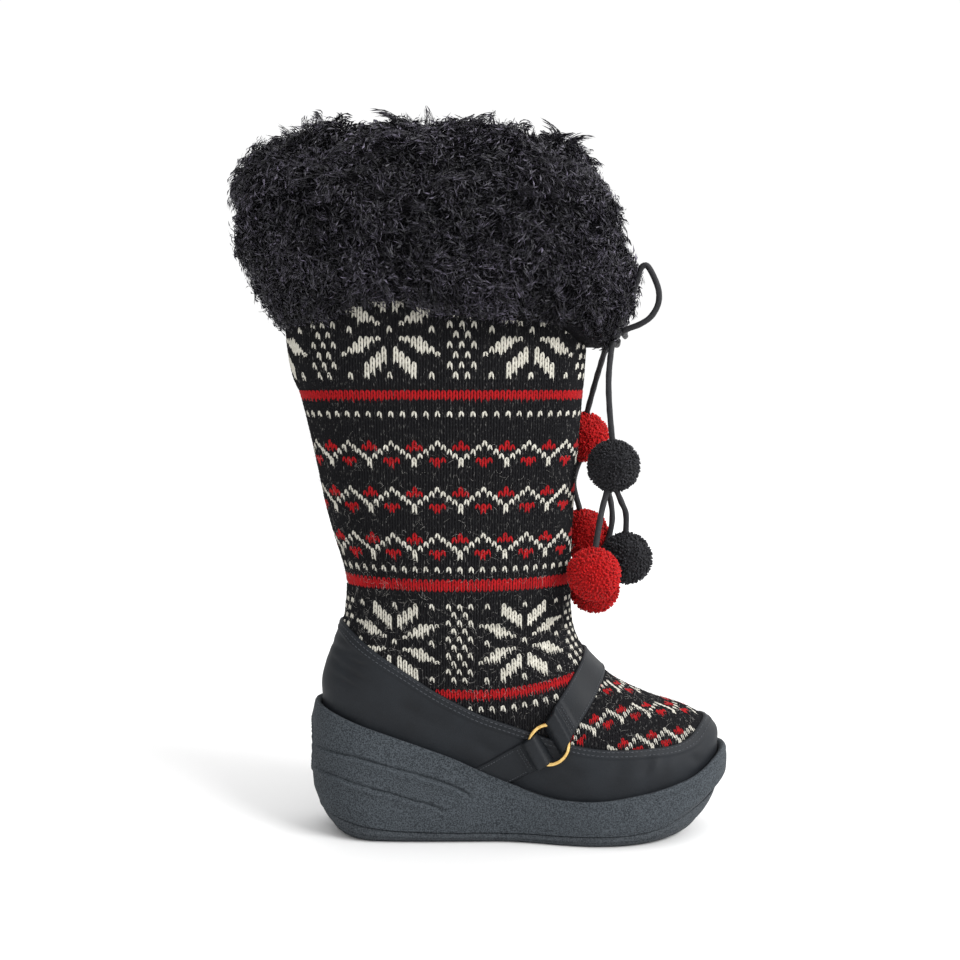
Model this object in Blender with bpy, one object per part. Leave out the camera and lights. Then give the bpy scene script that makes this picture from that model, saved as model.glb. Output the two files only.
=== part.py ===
"""Knitted wedge boot, right foot: rubber wedge sole, hollow knitted upper, leather foxing,
instep strap with a ring, deep fur cuff and a drawstring with six pompoms.
Metres, +X to the toe, +Z up, -Y is the outer side. The origin is on the floor under mid-sole."""

import math

import bmesh
import bpy
import numpy as np
from mathutils import Matrix, Vector
from mathutils.bvhtree import BVHTree

# Driving sizes
SOLE_LENGTH = 0.261
SOLE_HEIGHT = 0.081      # lip of the wedge at the back of the heel
BALL_WIDTH = 0.092       # upper across the ball
SHAFT_TOP = 0.398        # edge of the knitted collar, inside the fur
UPPER_WALL = 0.003       # knit and its lining
LEATHER = 0.0015
SOLE_LIP = 0.003         # wall of the cup that holds the upper
INSOLE = 0.003
GAP = 0.0003             # between pieces that touch
FUR_DEPTH = 0.0305       # how far the fur stands out from the shaft
FUR_FOOT = 0.306         # lowest edge of the fur
FUR_CREST = 0.431        # top of the fur
FUR_LINING = 0.015       # how far the fur turns down inside the collar
TUFT = 0.0075
RING_OUTSIDE = 0.026
RING_WIRE = 0.0025
STRAP_WIDTH = 0.0185
CORD = 0.0035
POMPOM = 0.032           # diameter over the tufts
KNOT = 0.0086
GROOVE = 0.0026
LUG_GROOVE = 0.0035

COLUMNS = 36             # round each ring, starting at the back and going by the outer side
HALF_BALL = BALL_WIDTH / 2
TOE_LIP = 0.654 * SOLE_HEIGHT
TOE_SWING = 0.004
WELT = 3 * GAP + LEATHER  # from the upper to the inside of the sole's lip

# Height of the sole's lines along its length.
# x is a share of SOLE_LENGTH from mid-sole, the heights are shares of SOLE_HEIGHT.
FLOOR_LINE = [(-0.502, 0.173), (-0.475, 0.111), (-0.444, 0.050), (-0.406, 0.010), (-0.372, 0.0),
              (0.238, 0.0), (0.307, 0.011), (0.364, 0.035), (0.414, 0.078), (0.452, 0.148),
              (0.483, 0.235), (0.502, 0.296)]
PARTING_LINE = [(-0.502, 0.216), (-0.460, 0.183), (-0.414, 0.160), (-0.372, 0.128), (-0.303, 0.099),
                (-0.192, 0.085), (0.096, 0.083), (0.241, 0.096), (0.322, 0.135), (0.406, 0.241),
                (0.475, 0.340), (0.502, 0.383)]
LIP_LINE = [(-0.502, 1.006), (-0.397, 0.901), (-0.314, 0.815), (-0.230, 0.722), (-0.159, 0.642),
            (-0.106, 0.562), (-0.054, 0.488), (0.0, 0.426), (0.038, 0.383), (0.077, 0.354),
            (0.134, 0.342), (0.188, 0.349), (0.245, 0.377), (0.322, 0.420), (0.406, 0.488),
            (0.444, 0.556), (0.475, 0.617), (0.502, 0.654)]
FOOTBED_LINE = [(-0.502, 0.901), (-0.383, 0.815), (-0.230, 0.623), (-0.115, 0.463), (0.0, 0.327),
                (0.096, 0.259), (0.192, 0.247), (0.287, 0.272), (0.364, 0.321), (0.429, 0.383),
                (0.502, 0.457)]
# Top edge of the leather foxing, z as a share of SOLE_HEIGHT
FOXING_LINE = [(-0.53, 1.66), (-0.418, 1.605), (-0.375, 1.494), (-0.337, 1.414), (-0.276, 1.296),
               (-0.230, 1.198), (-0.184, 1.111), (-0.111, 0.994), (-0.083, 0.957), (0.019, 0.846),
               (0.115, 0.747), (0.169, 0.716), (0.226, 0.704), (0.341, 0.704), (0.375, 0.720),
               (0.398, 0.747), (0.418, 0.794), (0.433, 0.840), (0.53, 0.87)]

# Rings of the upper from the footbed to the collar. back and front are shares of SOLE_LENGTH
# from mid-sole, back_z and front_z shares of the rise from the sole's lip to SHAFT_TOP, the
# widths shares of HALF_BALL, the rounds shares of the ring's length; foot says how far the
# ring still follows the dip of the sole and the swing of the toe.
RING_COLUMNS = ("back", "back_z", "front", "front_z", "heel", "waist", "ball",
                "round_back", "round_front", "foot")
RINGS = [
    (-0.471, 0.035, 0.470, 0.023, 0.717, 0.717, 0.891, 0.16, 0.27, 0.95),
    (-0.461, 0.069, 0.443, 0.042, 0.739, 0.783, 0.859, 0.18, 0.30, 0.85),
    (-0.450, 0.093, 0.410, 0.057, 0.750, 0.815, 0.815, 0.20, 0.33, 0.75),
    (-0.443, 0.110, 0.375, 0.067, 0.761, 0.837, 0.783, 0.22, 0.35, 0.65),
    (-0.435, 0.129, 0.337, 0.075, 0.772, 0.848, 0.772, 0.24, 0.37, 0.56),
    (-0.427, 0.148, 0.299, 0.086, 0.783, 0.859, 0.772, 0.27, 0.39, 0.48),
    (-0.421, 0.167, 0.261, 0.099, 0.793, 0.870, 0.783, 0.30, 0.41, 0.40),
    (-0.418, 0.188, 0.222, 0.116, 0.804, 0.870, 0.804, 0.33, 0.43, 0.33),
    (-0.416, 0.210, 0.188, 0.139, 0.815, 0.870, 0.826, 0.36, 0.45, 0.26),
    (-0.416, 0.233, 0.156, 0.165, 0.826, 0.880, 0.848, 0.40, 0.46, 0.20),
    (-0.421, 0.256, 0.135, 0.191, 0.837, 0.891, 0.870, 0.43, 0.47, 0.14),
    (-0.429, 0.279, 0.124, 0.220, 0.859, 0.902, 0.891, 0.46, 0.48, 0.09),
    (-0.441, 0.309, 0.120, 0.258, 0.880, 0.913, 0.913, 0.48, 0.49, 0.05),
    (-0.454, 0.344, 0.120, 0.304, 0.902, 0.924, 0.924, 0.50, 0.50, 0.02),
    (-0.469, 0.391, 0.122, 0.368, 0.924, 0.924, 0.924, 0.50, 0.50, 0.0),
    (-0.485, 0.454, 0.128, 0.443, 0.935, 0.935, 0.935, 0.50, 0.50, 0.0),
    (-0.504, 0.524, 0.136, 0.525, 0.957, 0.957, 0.957, 0.50, 0.50, 0.0),
    (-0.525, 0.593, 0.146, 0.612, 0.978, 0.978, 0.978, 0.50, 0.50, 0.0),
    (-0.559, 0.691, 0.157, 0.716, 1.0, 1.0, 1.0, 0.50, 0.50, 0.0),
    (-0.586, 1.0, 0.172, 1.0, 1.022, 1.022, 1.022, 0.50, 0.50, 0.0),
]
FEATHER_ENDS = (-0.469, 0.471)                # of the upper where it stands in the sole
FEATHER_SHAPE = (0.674, 0.663, 0.880, 0.145, 0.25)

# Side of the sole, from the floor to the lip: back, front (shares of SOLE_LENGTH), heel, waist,
# ball (shares of HALF_BALL) and rise (share of the way from the lower line to the upper line)
OUTSOLE_SIDE = [(-0.456, 0.433, 0.652, 0.620, 0.880, 0.0), (-0.471, 0.462, 0.735, 0.700, 0.950, 0.45),
                (-0.479, 0.475, 0.750, 0.717, 0.967, 1.0)]
MIDSOLE_SIDE = [(-0.483, 0.481, 0.765, 0.735, 0.985, 0.0), (-0.497, 0.496, 0.792, 0.757, 1.010, 0.16),
                (-0.502, 0.500, 0.804, 0.770, 1.018, 0.50), (-0.500, 0.500, 0.800, 0.770, 1.013, 0.80)]
SOLE_ROUNDS = (0.15, 0.26)

# Section of the fur cuff, from its outer foot over the crest to its lining foot: how far out
# (share of FUR_DEPTH) and how high (share of the way from FUR_FOOT to FUR_CREST)
FUR_OUTSIDE = [(0.26, 0.0), (0.50, 0.05), (0.66, 0.11), (0.80, 0.19), (0.92, 0.28), (1.0, 0.40),
               (1.02, 0.54), (1.0, 0.68), (0.86, 0.82), (0.60, 0.93), (0.26, 1.0), (-0.16, 0.985)]
FUR_INSIDE = [(1.0, 0.90), (1.08, 0.76), (0.80, 0.62)]   # out is a share of FUR_LINING inwards

# Side view of the straps: x shares of SOLE_LENGTH, z shares of SOLE_HEIGHT
RING_AT = (0.061, 0.765)
STRAP_TO = (0.162, 1.225)      # where the strap's middle crosses the instep
TAB_TO = (-0.075, 0.49)        # where the tab's middle goes under the sole's lip
# Curved side grooves of the wedge, from the heel forward
UPPER_GROOVE = [(-0.478, 0.67), (-0.383, 0.642), (-0.300, 0.568), (-0.230, 0.509), (-0.177, 0.456),
                (-0.131, 0.389), (-0.119, 0.352)]
LOWER_GROOVE = [(-0.474, 0.50), (-0.425, 0.478), (-0.372, 0.433), (-0.300, 0.374), (-0.247, 0.321),
                (-0.201, 0.284), (-0.182, 0.247)]
LUG_PLACES = (-0.32, -0.26, -0.20, -0.14, 0.02, 0.08, 0.14, 0.20)
HEEL_OVAL = (0.010, 0.0145, 0.001)   # half width, half height and depth of the plain heel recess
HEEL_OVAL_Z = 0.64

# Drawstring, points chosen by hand in metres
KNOT_AT = (0.0585, -0.0095, 0.3090)
POMPOMS = {
    "pompom_black_upper": (0.0575, -0.0150, 0.2267),
    "pompom_red_lower": (0.0440, -0.0290, 0.1617),
    "pompom_black_lower": (0.0668, -0.0020, 0.1680),
    "pompom_red_upper_inner": (0.0430, 0.0320, 0.2430),
    "pompom_red_middle_inner": (0.0425, 0.0265, 0.1800),
    "pompom_red_lower_inner": (0.0480, 0.0150, 0.1470),
}
CORDS = {
    "cord_tail_outer": [(0.0578, -0.0112, 0.3045), (0.0560, -0.0130, 0.2960), (0.0545, -0.0150, 0.2800),
                        (0.0550, -0.0155, 0.2620), (0.0570, -0.0151, 0.2400)],
    "cord_tail_inner": [(0.0561, -0.0066, 0.3057), (0.0540, 0.0020, 0.2990), (0.0520, 0.0120, 0.2900),
                        (0.0490, 0.0220, 0.2770), (0.0443, 0.0308, 0.2570)],
    "cord_loop_outer": [(0.0633, -0.0105, 0.3101), (0.0680, -0.0125, 0.3122), (0.0740, -0.0145, 0.3145),
                        (0.0805, -0.0160, 0.3190), (0.0848, -0.0165, 0.3265), (0.0853, -0.0170, 0.3345),
                        (0.0825, -0.0172, 0.3430), (0.0780, -0.0172, 0.3505), (0.0743, -0.0165, 0.3490),
                        (0.0722, -0.0155, 0.3420), (0.0700, -0.0142, 0.3350), (0.0668, -0.0130, 0.3265),
                        (0.0632, -0.0115, 0.3187), (0.0605, -0.0102, 0.3138)],
    "cord_loop_inner": [(0.0632, -0.0062, 0.3100), (0.0665, 0.0030, 0.3085), (0.0678, 0.0130, 0.3085),
                        (0.0684, 0.0240, 0.3155), (0.0670, 0.0340, 0.3255), (0.0635, 0.0425, 0.3355),
                        (0.0595, 0.0478, 0.3400), (0.0572, 0.0470, 0.3330), (0.0592, 0.0410, 0.3215),
                        (0.0612, 0.0310, 0.3115), (0.0620, 0.0200, 0.3045), (0.0622, 0.0085, 0.3025),
                        (0.0614, -0.0042, 0.3050)],
    "cord_drop_red_lower": [(0.0537, -0.0180, 0.2135), (0.0500, -0.0215, 0.2010), (0.0475, -0.0250, 0.1900),
                            (0.0448, -0.0285, 0.1755)],
    "cord_drop_black_lower": [(0.0588, -0.0138, 0.2130), (0.0630, -0.0085, 0.2040), (0.0665, -0.0035, 0.1955),
                              (0.0665, -0.0020, 0.1815)],
    "cord_drop_red_middle": [(0.0410, 0.0317, 0.2295), (0.0370, 0.0300, 0.2190), (0.0362, 0.0285, 0.2100),
                             (0.0405, 0.0270, 0.1935)],
    "cord_drop_red_lower_inner": [(0.0495, 0.0297, 0.2310), (0.0570, 0.0230, 0.2120), (0.0600, 0.0170, 0.1930),
                                  (0.0570, 0.0155, 0.1770), (0.0505, 0.0149, 0.1605)],
}

COLOURS = {
    "rubber": ((0.052, 0.058, 0.068, 1), 0.85, 0.0),
    "outsole_rubber": ((0.040, 0.044, 0.052, 1), 0.9, 0.0),
    "knit": ((0.020, 0.020, 0.022, 1), 0.95, 0.0),
    "leather": ((0.022, 0.026, 0.033, 1), 0.6, 0.0),
    "fur": ((0.012, 0.011, 0.016, 1), 0.9, 0.0),
    "lining": ((0.030, 0.030, 0.034, 1), 0.95, 0.0),
    "gold": ((0.80, 0.56, 0.22, 1), 0.25, 1.0),
    "cord": ((0.014, 0.014, 0.016, 1), 0.8, 0.0),
    "red_yarn": ((0.60, 0.012, 0.020, 1), 0.95, 0.0),
    "black_yarn": ((0.012, 0.012, 0.014, 1), 0.95, 0.0),
}


def clear_scene():
    for item in list(bpy.data.objects):
        bpy.data.objects.remove(item, do_unlink=True)


def collection(name):
    made = bpy.data.collections.new(name)
    bpy.context.scene.collection.children.link(made)
    return made


def material(name):
    colour, roughness, metallic = COLOURS[name]
    made = bpy.data.materials.new(name)
    made.use_nodes = True
    shader = made.node_tree.nodes["Principled BSDF"]
    shader.inputs["Base Color"].default_value = colour
    shader.inputs["Roughness"].default_value = roughness
    shader.inputs["Metallic"].default_value = metallic
    made.diffuse_color = colour
    return made


def mesh_object(name, points, faces, home, finish=None):
    """A closed mesh, its faces turned outwards."""
    mesh = bpy.data.meshes.new(name)
    mesh.from_pydata([tuple(map(float, p)) for p in points], [], faces)
    work = bmesh.new()
    work.from_mesh(mesh)
    bmesh.ops.recalc_face_normals(work, faces=work.faces)
    work.to_mesh(mesh)
    work.free()
    made = bpy.data.objects.new(name, mesh)
    home.objects.link(made)
    if finish:
        mesh.materials.append(material(finish))
    return made


def apply_modifiers(item):
    """Replace the object's mesh by what its modifiers make of it."""
    seen = bpy.context.evaluated_depsgraph_get()
    seen.update()
    mesh = bpy.data.meshes.new_from_object(item.evaluated_get(seen))
    item.modifiers.clear()
    item.data = mesh


def boolean(item, cutter, operation):
    step = item.modifiers.new(operation.lower(), "BOOLEAN")
    step.operation = operation
    step.solver = "EXACT"
    step.object = cutter
    apply_modifiers(item)


def guide(item):
    """Mark a cutter: it isn't part of the boot."""
    item.hide_render = True
    item.display_type = "WIRE"
    return item


def smooth(item, angle=math.radians(40)):
    item.data.shade_smooth()
    item.data.set_sharp_from_angle(angle=angle)


def line_height(line, x, scale=SOLE_HEIGHT):
    """Height of one of the sole's lines at x."""
    table = np.array(line)
    return np.interp(np.asarray(x) / SOLE_LENGTH, table[:, 0], table[:, 1]) * scale


def ease(share):
    share = np.clip(share, 0.0, 1.0)
    return share * share * (3 - 2 * share)


def end_round(distance, radius):
    """1 along the side of an outline, falling to 0 like a circle at its end."""
    inside = np.clip(1 - distance / radius, 0.0, 1.0)
    return np.sqrt(1 - inside ** 2)


def outline(back, front, heel, waist, ball, round_back, round_front, swing):
    """Plan of a foot-shaped ring: x, y and the share of its length, for each column."""
    turn = np.linspace(0, 2 * math.pi, COLUMNS, endpoint=False)
    share = (1 - np.cos(turn)) / 2
    width = heel + (waist - heel) * ease((share - 0.15) / 0.3)
    width = width + (ball - waist) * ease((share - 0.45) / 0.27)
    width = width * end_round(share, round_back) * end_round(1 - share, round_front)
    middle = swing * TOE_SWING * (share ** 2 - np.sin(math.pi * share))
    side = np.where(turn <= math.pi, -1.0, 1.0)
    x = back + (front - back) * share
    return x, middle + side * width, share


def upper_grid():
    """Outer face of the knitted upper: points[ring, column]."""
    rings = []
    back, front = (end * SOLE_LENGTH for end in FEATHER_ENDS)
    heel, waist, ball, round_back, round_front = FEATHER_SHAPE
    x, y, share = outline(back, front, heel * HALF_BALL, waist * HALF_BALL, ball * HALF_BALL,
                          round_back, round_front, 1.0)
    rings.append(np.stack([x, y, line_height(FOOTBED_LINE, x) + 2 * GAP], axis=1))
    rings.append(np.stack([x, y, line_height(LIP_LINE, x) + LEATHER], axis=1))
    for row in RINGS:
        ring = dict(zip(RING_COLUMNS, row))
        x, y, share = outline(ring["back"] * SOLE_LENGTH, ring["front"] * SOLE_LENGTH,
                              ring["heel"] * HALF_BALL, ring["waist"] * HALF_BALL,
                              ring["ball"] * HALF_BALL, ring["round_back"], ring["round_front"],
                              ring["foot"])
        back_z = SOLE_HEIGHT + ring["back_z"] * (SHAFT_TOP - SOLE_HEIGHT)
        front_z = TOE_LIP + ring["front_z"] * (SHAFT_TOP - TOE_LIP)
        lip = line_height(LIP_LINE, x)
        dip = lip - (lip[0] + (lip[COLUMNS // 2] - lip[0]) * share)
        z = back_z + (front_z - back_z) * share + ring["foot"] * dip
        rings.append(np.stack([x, y, z], axis=1))
    return np.array(rings)


def grid_normals(points):
    """Outward direction at each point of a grid of closed rings."""
    along = np.roll(points, -1, axis=1) - np.roll(points, 1, axis=1)
    rise = np.gradient(points, axis=0)
    normal = np.cross(along, rise)
    return normal / np.linalg.norm(normal, axis=2, keepdims=True)


def tube_faces(loops, closed, turned_from=None):
    """Triangles between consecutive loops of COLUMNS points; closed joins the last to the first.
    From loop turned_from on the diagonal is the other one, so both faces of a wall match."""
    faces = []
    for loop in range(loops if closed else loops - 1):
        low = loop * COLUMNS
        high = ((loop + 1) % loops) * COLUMNS
        turned = turned_from is not None and loop >= turned_from
        for column in range(COLUMNS):
            after = (column + 1) % COLUMNS
            if turned:
                faces.append((low + column, low + after, high + column))
                faces.append((low + after, high + after, high + column))
            else:
                faces.append((low + column, low + after, high + after))
                faces.append((low + column, high + after, high + column))
    return faces


def ladder_faces(first):
    """A lid across one loop, in strips from the outer side to the inner side."""
    half = COLUMNS // 2
    faces = [(first, first + 1, first + COLUMNS - 1), (first + half - 1, first + half, first + half + 1)]
    for column in range(1, half - 1):
        faces.append((first + column, first + column + 1, first + COLUMNS - column - 1,
                      first + COLUMNS - column))
    return faces


def shell(name, points, normals, inner, outer, home, finish=None):
    """A wall between two offsets of a grid, open at its first and last ring."""
    outside = points + normals * outer
    inside = points + normals * inner
    loops = np.concatenate([outside, inside[::-1]])
    faces = tube_faces(len(loops), True, turned_from=len(points))
    return mesh_object(name, loops.reshape(-1, 3), faces, home, finish)


def lofted(name, loops, home, finish=None):
    """A solid through closed loops, with a lid at each end."""
    loops = np.array(loops)
    faces = tube_faces(len(loops), False) + ladder_faces(0) + ladder_faces((len(loops) - 1) * COLUMNS)
    return mesh_object(name, loops.reshape(-1, 3), faces, home, finish)


def side_prism(name, corners, y_low, y_high, home):
    """A flat shape seen from the side (x, z), carried across the boot."""
    count = len(corners)
    points = [(x, y_low, z) for x, z in corners] + [(x, y_high, z) for x, z in corners]
    faces = [tuple(range(count)), tuple(range(2 * count - 1, count - 1, -1))]
    for index in range(count):
        after = (index + 1) % count
        faces.append((index, after, count + after, count + index))
    return guide(mesh_object(name, points, faces, home))


def smooth_route(points, spacing):
    """Points at even steps along a smooth curve through the route."""
    given = [Vector(p) for p in points]
    ends = [given[0] * 2 - given[1]] + given + [given[-1] * 2 - given[-2]]
    fine = []
    for index in range(1, len(ends) - 2):
        before, start, end, after = ends[index - 1:index + 3]
        for step in range(12):
            t = step / 12
            fine.append(0.5 * (2 * start + (end - before) * t + (2 * before - 5 * start + 4 * end - after) * t ** 2
                               + (3 * start - before - 3 * end + after) * t ** 3))
    fine.append(given[-1])
    lengths = np.cumsum([0.0] + [(b - a).length for a, b in zip(fine, fine[1:])])
    count = max(3, round(lengths[-1] / spacing) + 1)
    fine = np.array(fine)
    places = np.linspace(0, lengths[-1], count)
    return np.stack([np.interp(places, lengths, fine[:, axis]) for axis in range(3)], axis=1)


def lengthened(points, extra):
    """The same route with both ends carried on a little, for the room that a cord needs."""
    first = points[0] + (points[0] - points[1]) / np.linalg.norm(points[0] - points[1]) * extra
    last = points[-1] + (points[-1] - points[-2]) / np.linalg.norm(points[-1] - points[-2]) * extra
    return np.concatenate([[first], points[1:-1], [last]])


def rope(name, points, thickness, home, finish=None, sides_step=2):
    """A round cord along points, as a mesh with closed ends."""
    curve = bpy.data.curves.new(name, "CURVE")
    curve.dimensions = "3D"
    curve.bevel_depth = thickness / 2
    curve.bevel_resolution = sides_step
    curve.use_fill_caps = True
    line = curve.splines.new("POLY")
    line.points.add(len(points) - 1)
    for slot, point in zip(line.points, points):
        slot.co = (*map(float, point), 1.0)
    drawn = bpy.data.objects.new(name + "_line", curve)
    home.objects.link(drawn)
    seen = bpy.context.evaluated_depsgraph_get()
    seen.update()
    mesh = bpy.data.meshes.new_from_object(drawn.evaluated_get(seen))
    work = bmesh.new()
    work.from_mesh(mesh)
    bmesh.ops.remove_doubles(work, verts=work.verts, dist=0.00001)
    bmesh.ops.recalc_face_normals(work, faces=work.faces)
    work.to_mesh(mesh)
    work.free()
    made = bpy.data.objects.new(name, mesh)
    made.matrix_world = drawn.matrix_world
    home.objects.link(made)
    bpy.data.objects.remove(drawn, do_unlink=True)
    mesh.materials.clear()
    if finish:
        mesh.materials.append(material(finish))
    return made


def sole_loop(row, low_line, high_line, low_gap=0.0, high_gap=0.0):
    back, front, heel, waist, ball, rise = row
    x, y, _ = outline(back * SOLE_LENGTH, front * SOLE_LENGTH, heel * HALF_BALL, waist * HALF_BALL,
                      ball * HALF_BALL, *SOLE_ROUNDS, 1.0)
    low = line_height(low_line, x) + low_gap
    high = line_height(high_line, x) - high_gap
    return np.stack([x, y, low + (high - low) * rise], axis=1)


def make_outsole(parts, cutters):
    """The thin walking layer, with its lugs cut between cross grooves."""
    loops = [sole_loop(row, FLOOR_LINE, PARTING_LINE, high_gap=2 * GAP) for row in OUTSOLE_SIDE]
    outsole = lofted("outsole", loops, parts, "outsole_rubber")
    for index, place in enumerate(LUG_PLACES):
        x = place * SOLE_LENGTH
        corners = [(x - LUG_GROOVE / 2, -LUG_GROOVE), (x + LUG_GROOVE / 2, -LUG_GROOVE),
                   (x + LUG_GROOVE / 2, LUG_GROOVE * 0.7), (x - LUG_GROOVE / 2, LUG_GROOVE * 0.7)]
        cutter = side_prism(f"lug_groove_{index}", corners, -BALL_WIDTH, BALL_WIDTH, cutters)
        boolean(outsole, cutter, "DIFFERENCE")
    smooth(outsole)
    return outsole


def make_midsole(parts, cutters, feather, outward):
    """The wedge: a cup with a raised lip round the upper, side grooves and a plain heel oval."""
    loops = [sole_loop(row, PARTING_LINE, LIP_LINE) for row in MIDSOLE_SIDE]
    lip_outer = feather + outward * (WELT + SOLE_LIP)
    lip_inner = feather + outward * WELT
    for edge, line in ((lip_outer, LIP_LINE), (lip_inner, LIP_LINE), (lip_inner, FOOTBED_LINE)):
        loops.append(np.stack([edge[:, 0], edge[:, 1], line_height(line, edge[:, 0])], axis=1))
    midsole = lofted("midsole", loops, parts, "rubber")
    work = bmesh.new()
    work.from_mesh(midsole.data)
    tree = BVHTree.FromBMesh(work)
    work.free()
    for side in (-1, 1):
        for name, route in (("upper", UPPER_GROOVE), ("lower", LOWER_GROOVE)):
            points = []
            for x, z in route:
                start = Vector((x * SOLE_LENGTH, side * BALL_WIDTH, z * SOLE_HEIGHT))
                hit = tree.ray_cast(start, Vector((0, -side, 0)))[0]
                points.append(hit)
            dense = smooth_route(points, GROOVE * 4)
            snapped = [tree.find_nearest(Vector(p))[0] for p in dense]
            cutter = rope(f"groove_{name}_{'inner' if side > 0 else 'outer'}", snapped, GROOVE, cutters,
                          sides_step=1)
            boolean(midsole, guide(cutter), "DIFFERENCE")
    half_width, half_height, depth = HEEL_OVAL
    work = bmesh.new()
    bmesh.ops.create_cone(work, cap_ends=True, segments=20, radius1=1, radius2=1, depth=1)
    heel_x = MIDSOLE_SIDE[2][0] * SOLE_LENGTH
    placed = (Matrix.Translation((heel_x, 0, HEEL_OVAL_Z * SOLE_HEIGHT))
              @ Matrix.Rotation(math.pi / 2, 4, "Y") @ Matrix.Diagonal((half_height, half_width, 2 * depth, 1)))
    bmesh.ops.transform(work, matrix=placed, verts=work.verts)
    mesh = bpy.data.meshes.new("heel_oval")
    work.to_mesh(mesh)
    work.free()
    oval = bpy.data.objects.new("heel_oval", mesh)
    cutters.objects.link(oval)
    boolean(midsole, guide(oval), "DIFFERENCE")
    smooth(midsole)
    return midsole


def make_insole(parts, feather, outward):
    edge = feather - outward * (UPPER_WALL + 2 * GAP)
    low = line_height(FOOTBED_LINE, edge[:, 0]) + 2 * GAP
    loops = [np.stack([edge[:, 0], edge[:, 1], low + rise], axis=1) for rise in (0.0, INSOLE)]
    insole = lofted("insole", loops, parts, "lining")
    smooth(insole)
    return insole


def make_upper(parts, grid, normals):
    """The knitted bootie: one hollow wall, open at the collar and at the footbed."""
    upper = shell("upper", grid, normals, -UPPER_WALL, 0.0, parts, "knit")
    smooth(upper, math.radians(60))
    return upper


def make_foxing(parts, cutters, grid, normals):
    """Leather round the foot, from the upper's own surface, cut at its curved top edge."""
    last = 14
    foxing = shell("foxing", grid[:last], normals[:last], GAP, GAP + LEATHER, parts, "leather")
    top = [(x * SOLE_LENGTH, z * SOLE_HEIGHT) for x, z in FOXING_LINE]
    corners = top + [(top[-1][0], -SOLE_HEIGHT), (top[0][0], -SOLE_HEIGHT)]
    boolean(foxing, side_prism("foxing_edge", corners, -BALL_WIDTH, BALL_WIDTH, cutters), "INTERSECT")
    smooth(foxing)
    return foxing


def bar_corners(start, angle, near, far, width):
    """Corners (x, z) of a bar that leaves a point at an angle."""
    along = Vector((math.cos(angle), math.sin(angle)))
    across = Vector((-along.y, along.x)) * width / 2
    origin = Vector(start)
    return [tuple(origin + along * near - across), tuple(origin + along * far - across),
            tuple(origin + along * far + across), tuple(origin + along * near + across)]


def torus_object(name, frame, major, minor, home, finish=None, around=28, tube=8):
    points = []
    for step in range(around):
        turn = 2 * math.pi * step / around
        for side in range(tube):
            roll = 2 * math.pi * (side + 0.5) / tube
            reach = major + minor * math.cos(roll)
            points.append(frame @ Vector((reach * math.cos(turn), reach * math.sin(turn), minor * math.sin(roll))))
    faces = []
    for step in range(around):
        after = (step + 1) % around
        for side in range(tube):
            turn = (side + 1) % tube
            faces.append((step * tube + side, after * tube + side, after * tube + turn, step * tube + turn))
    return mesh_object(name, points, faces, home, finish)


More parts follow.
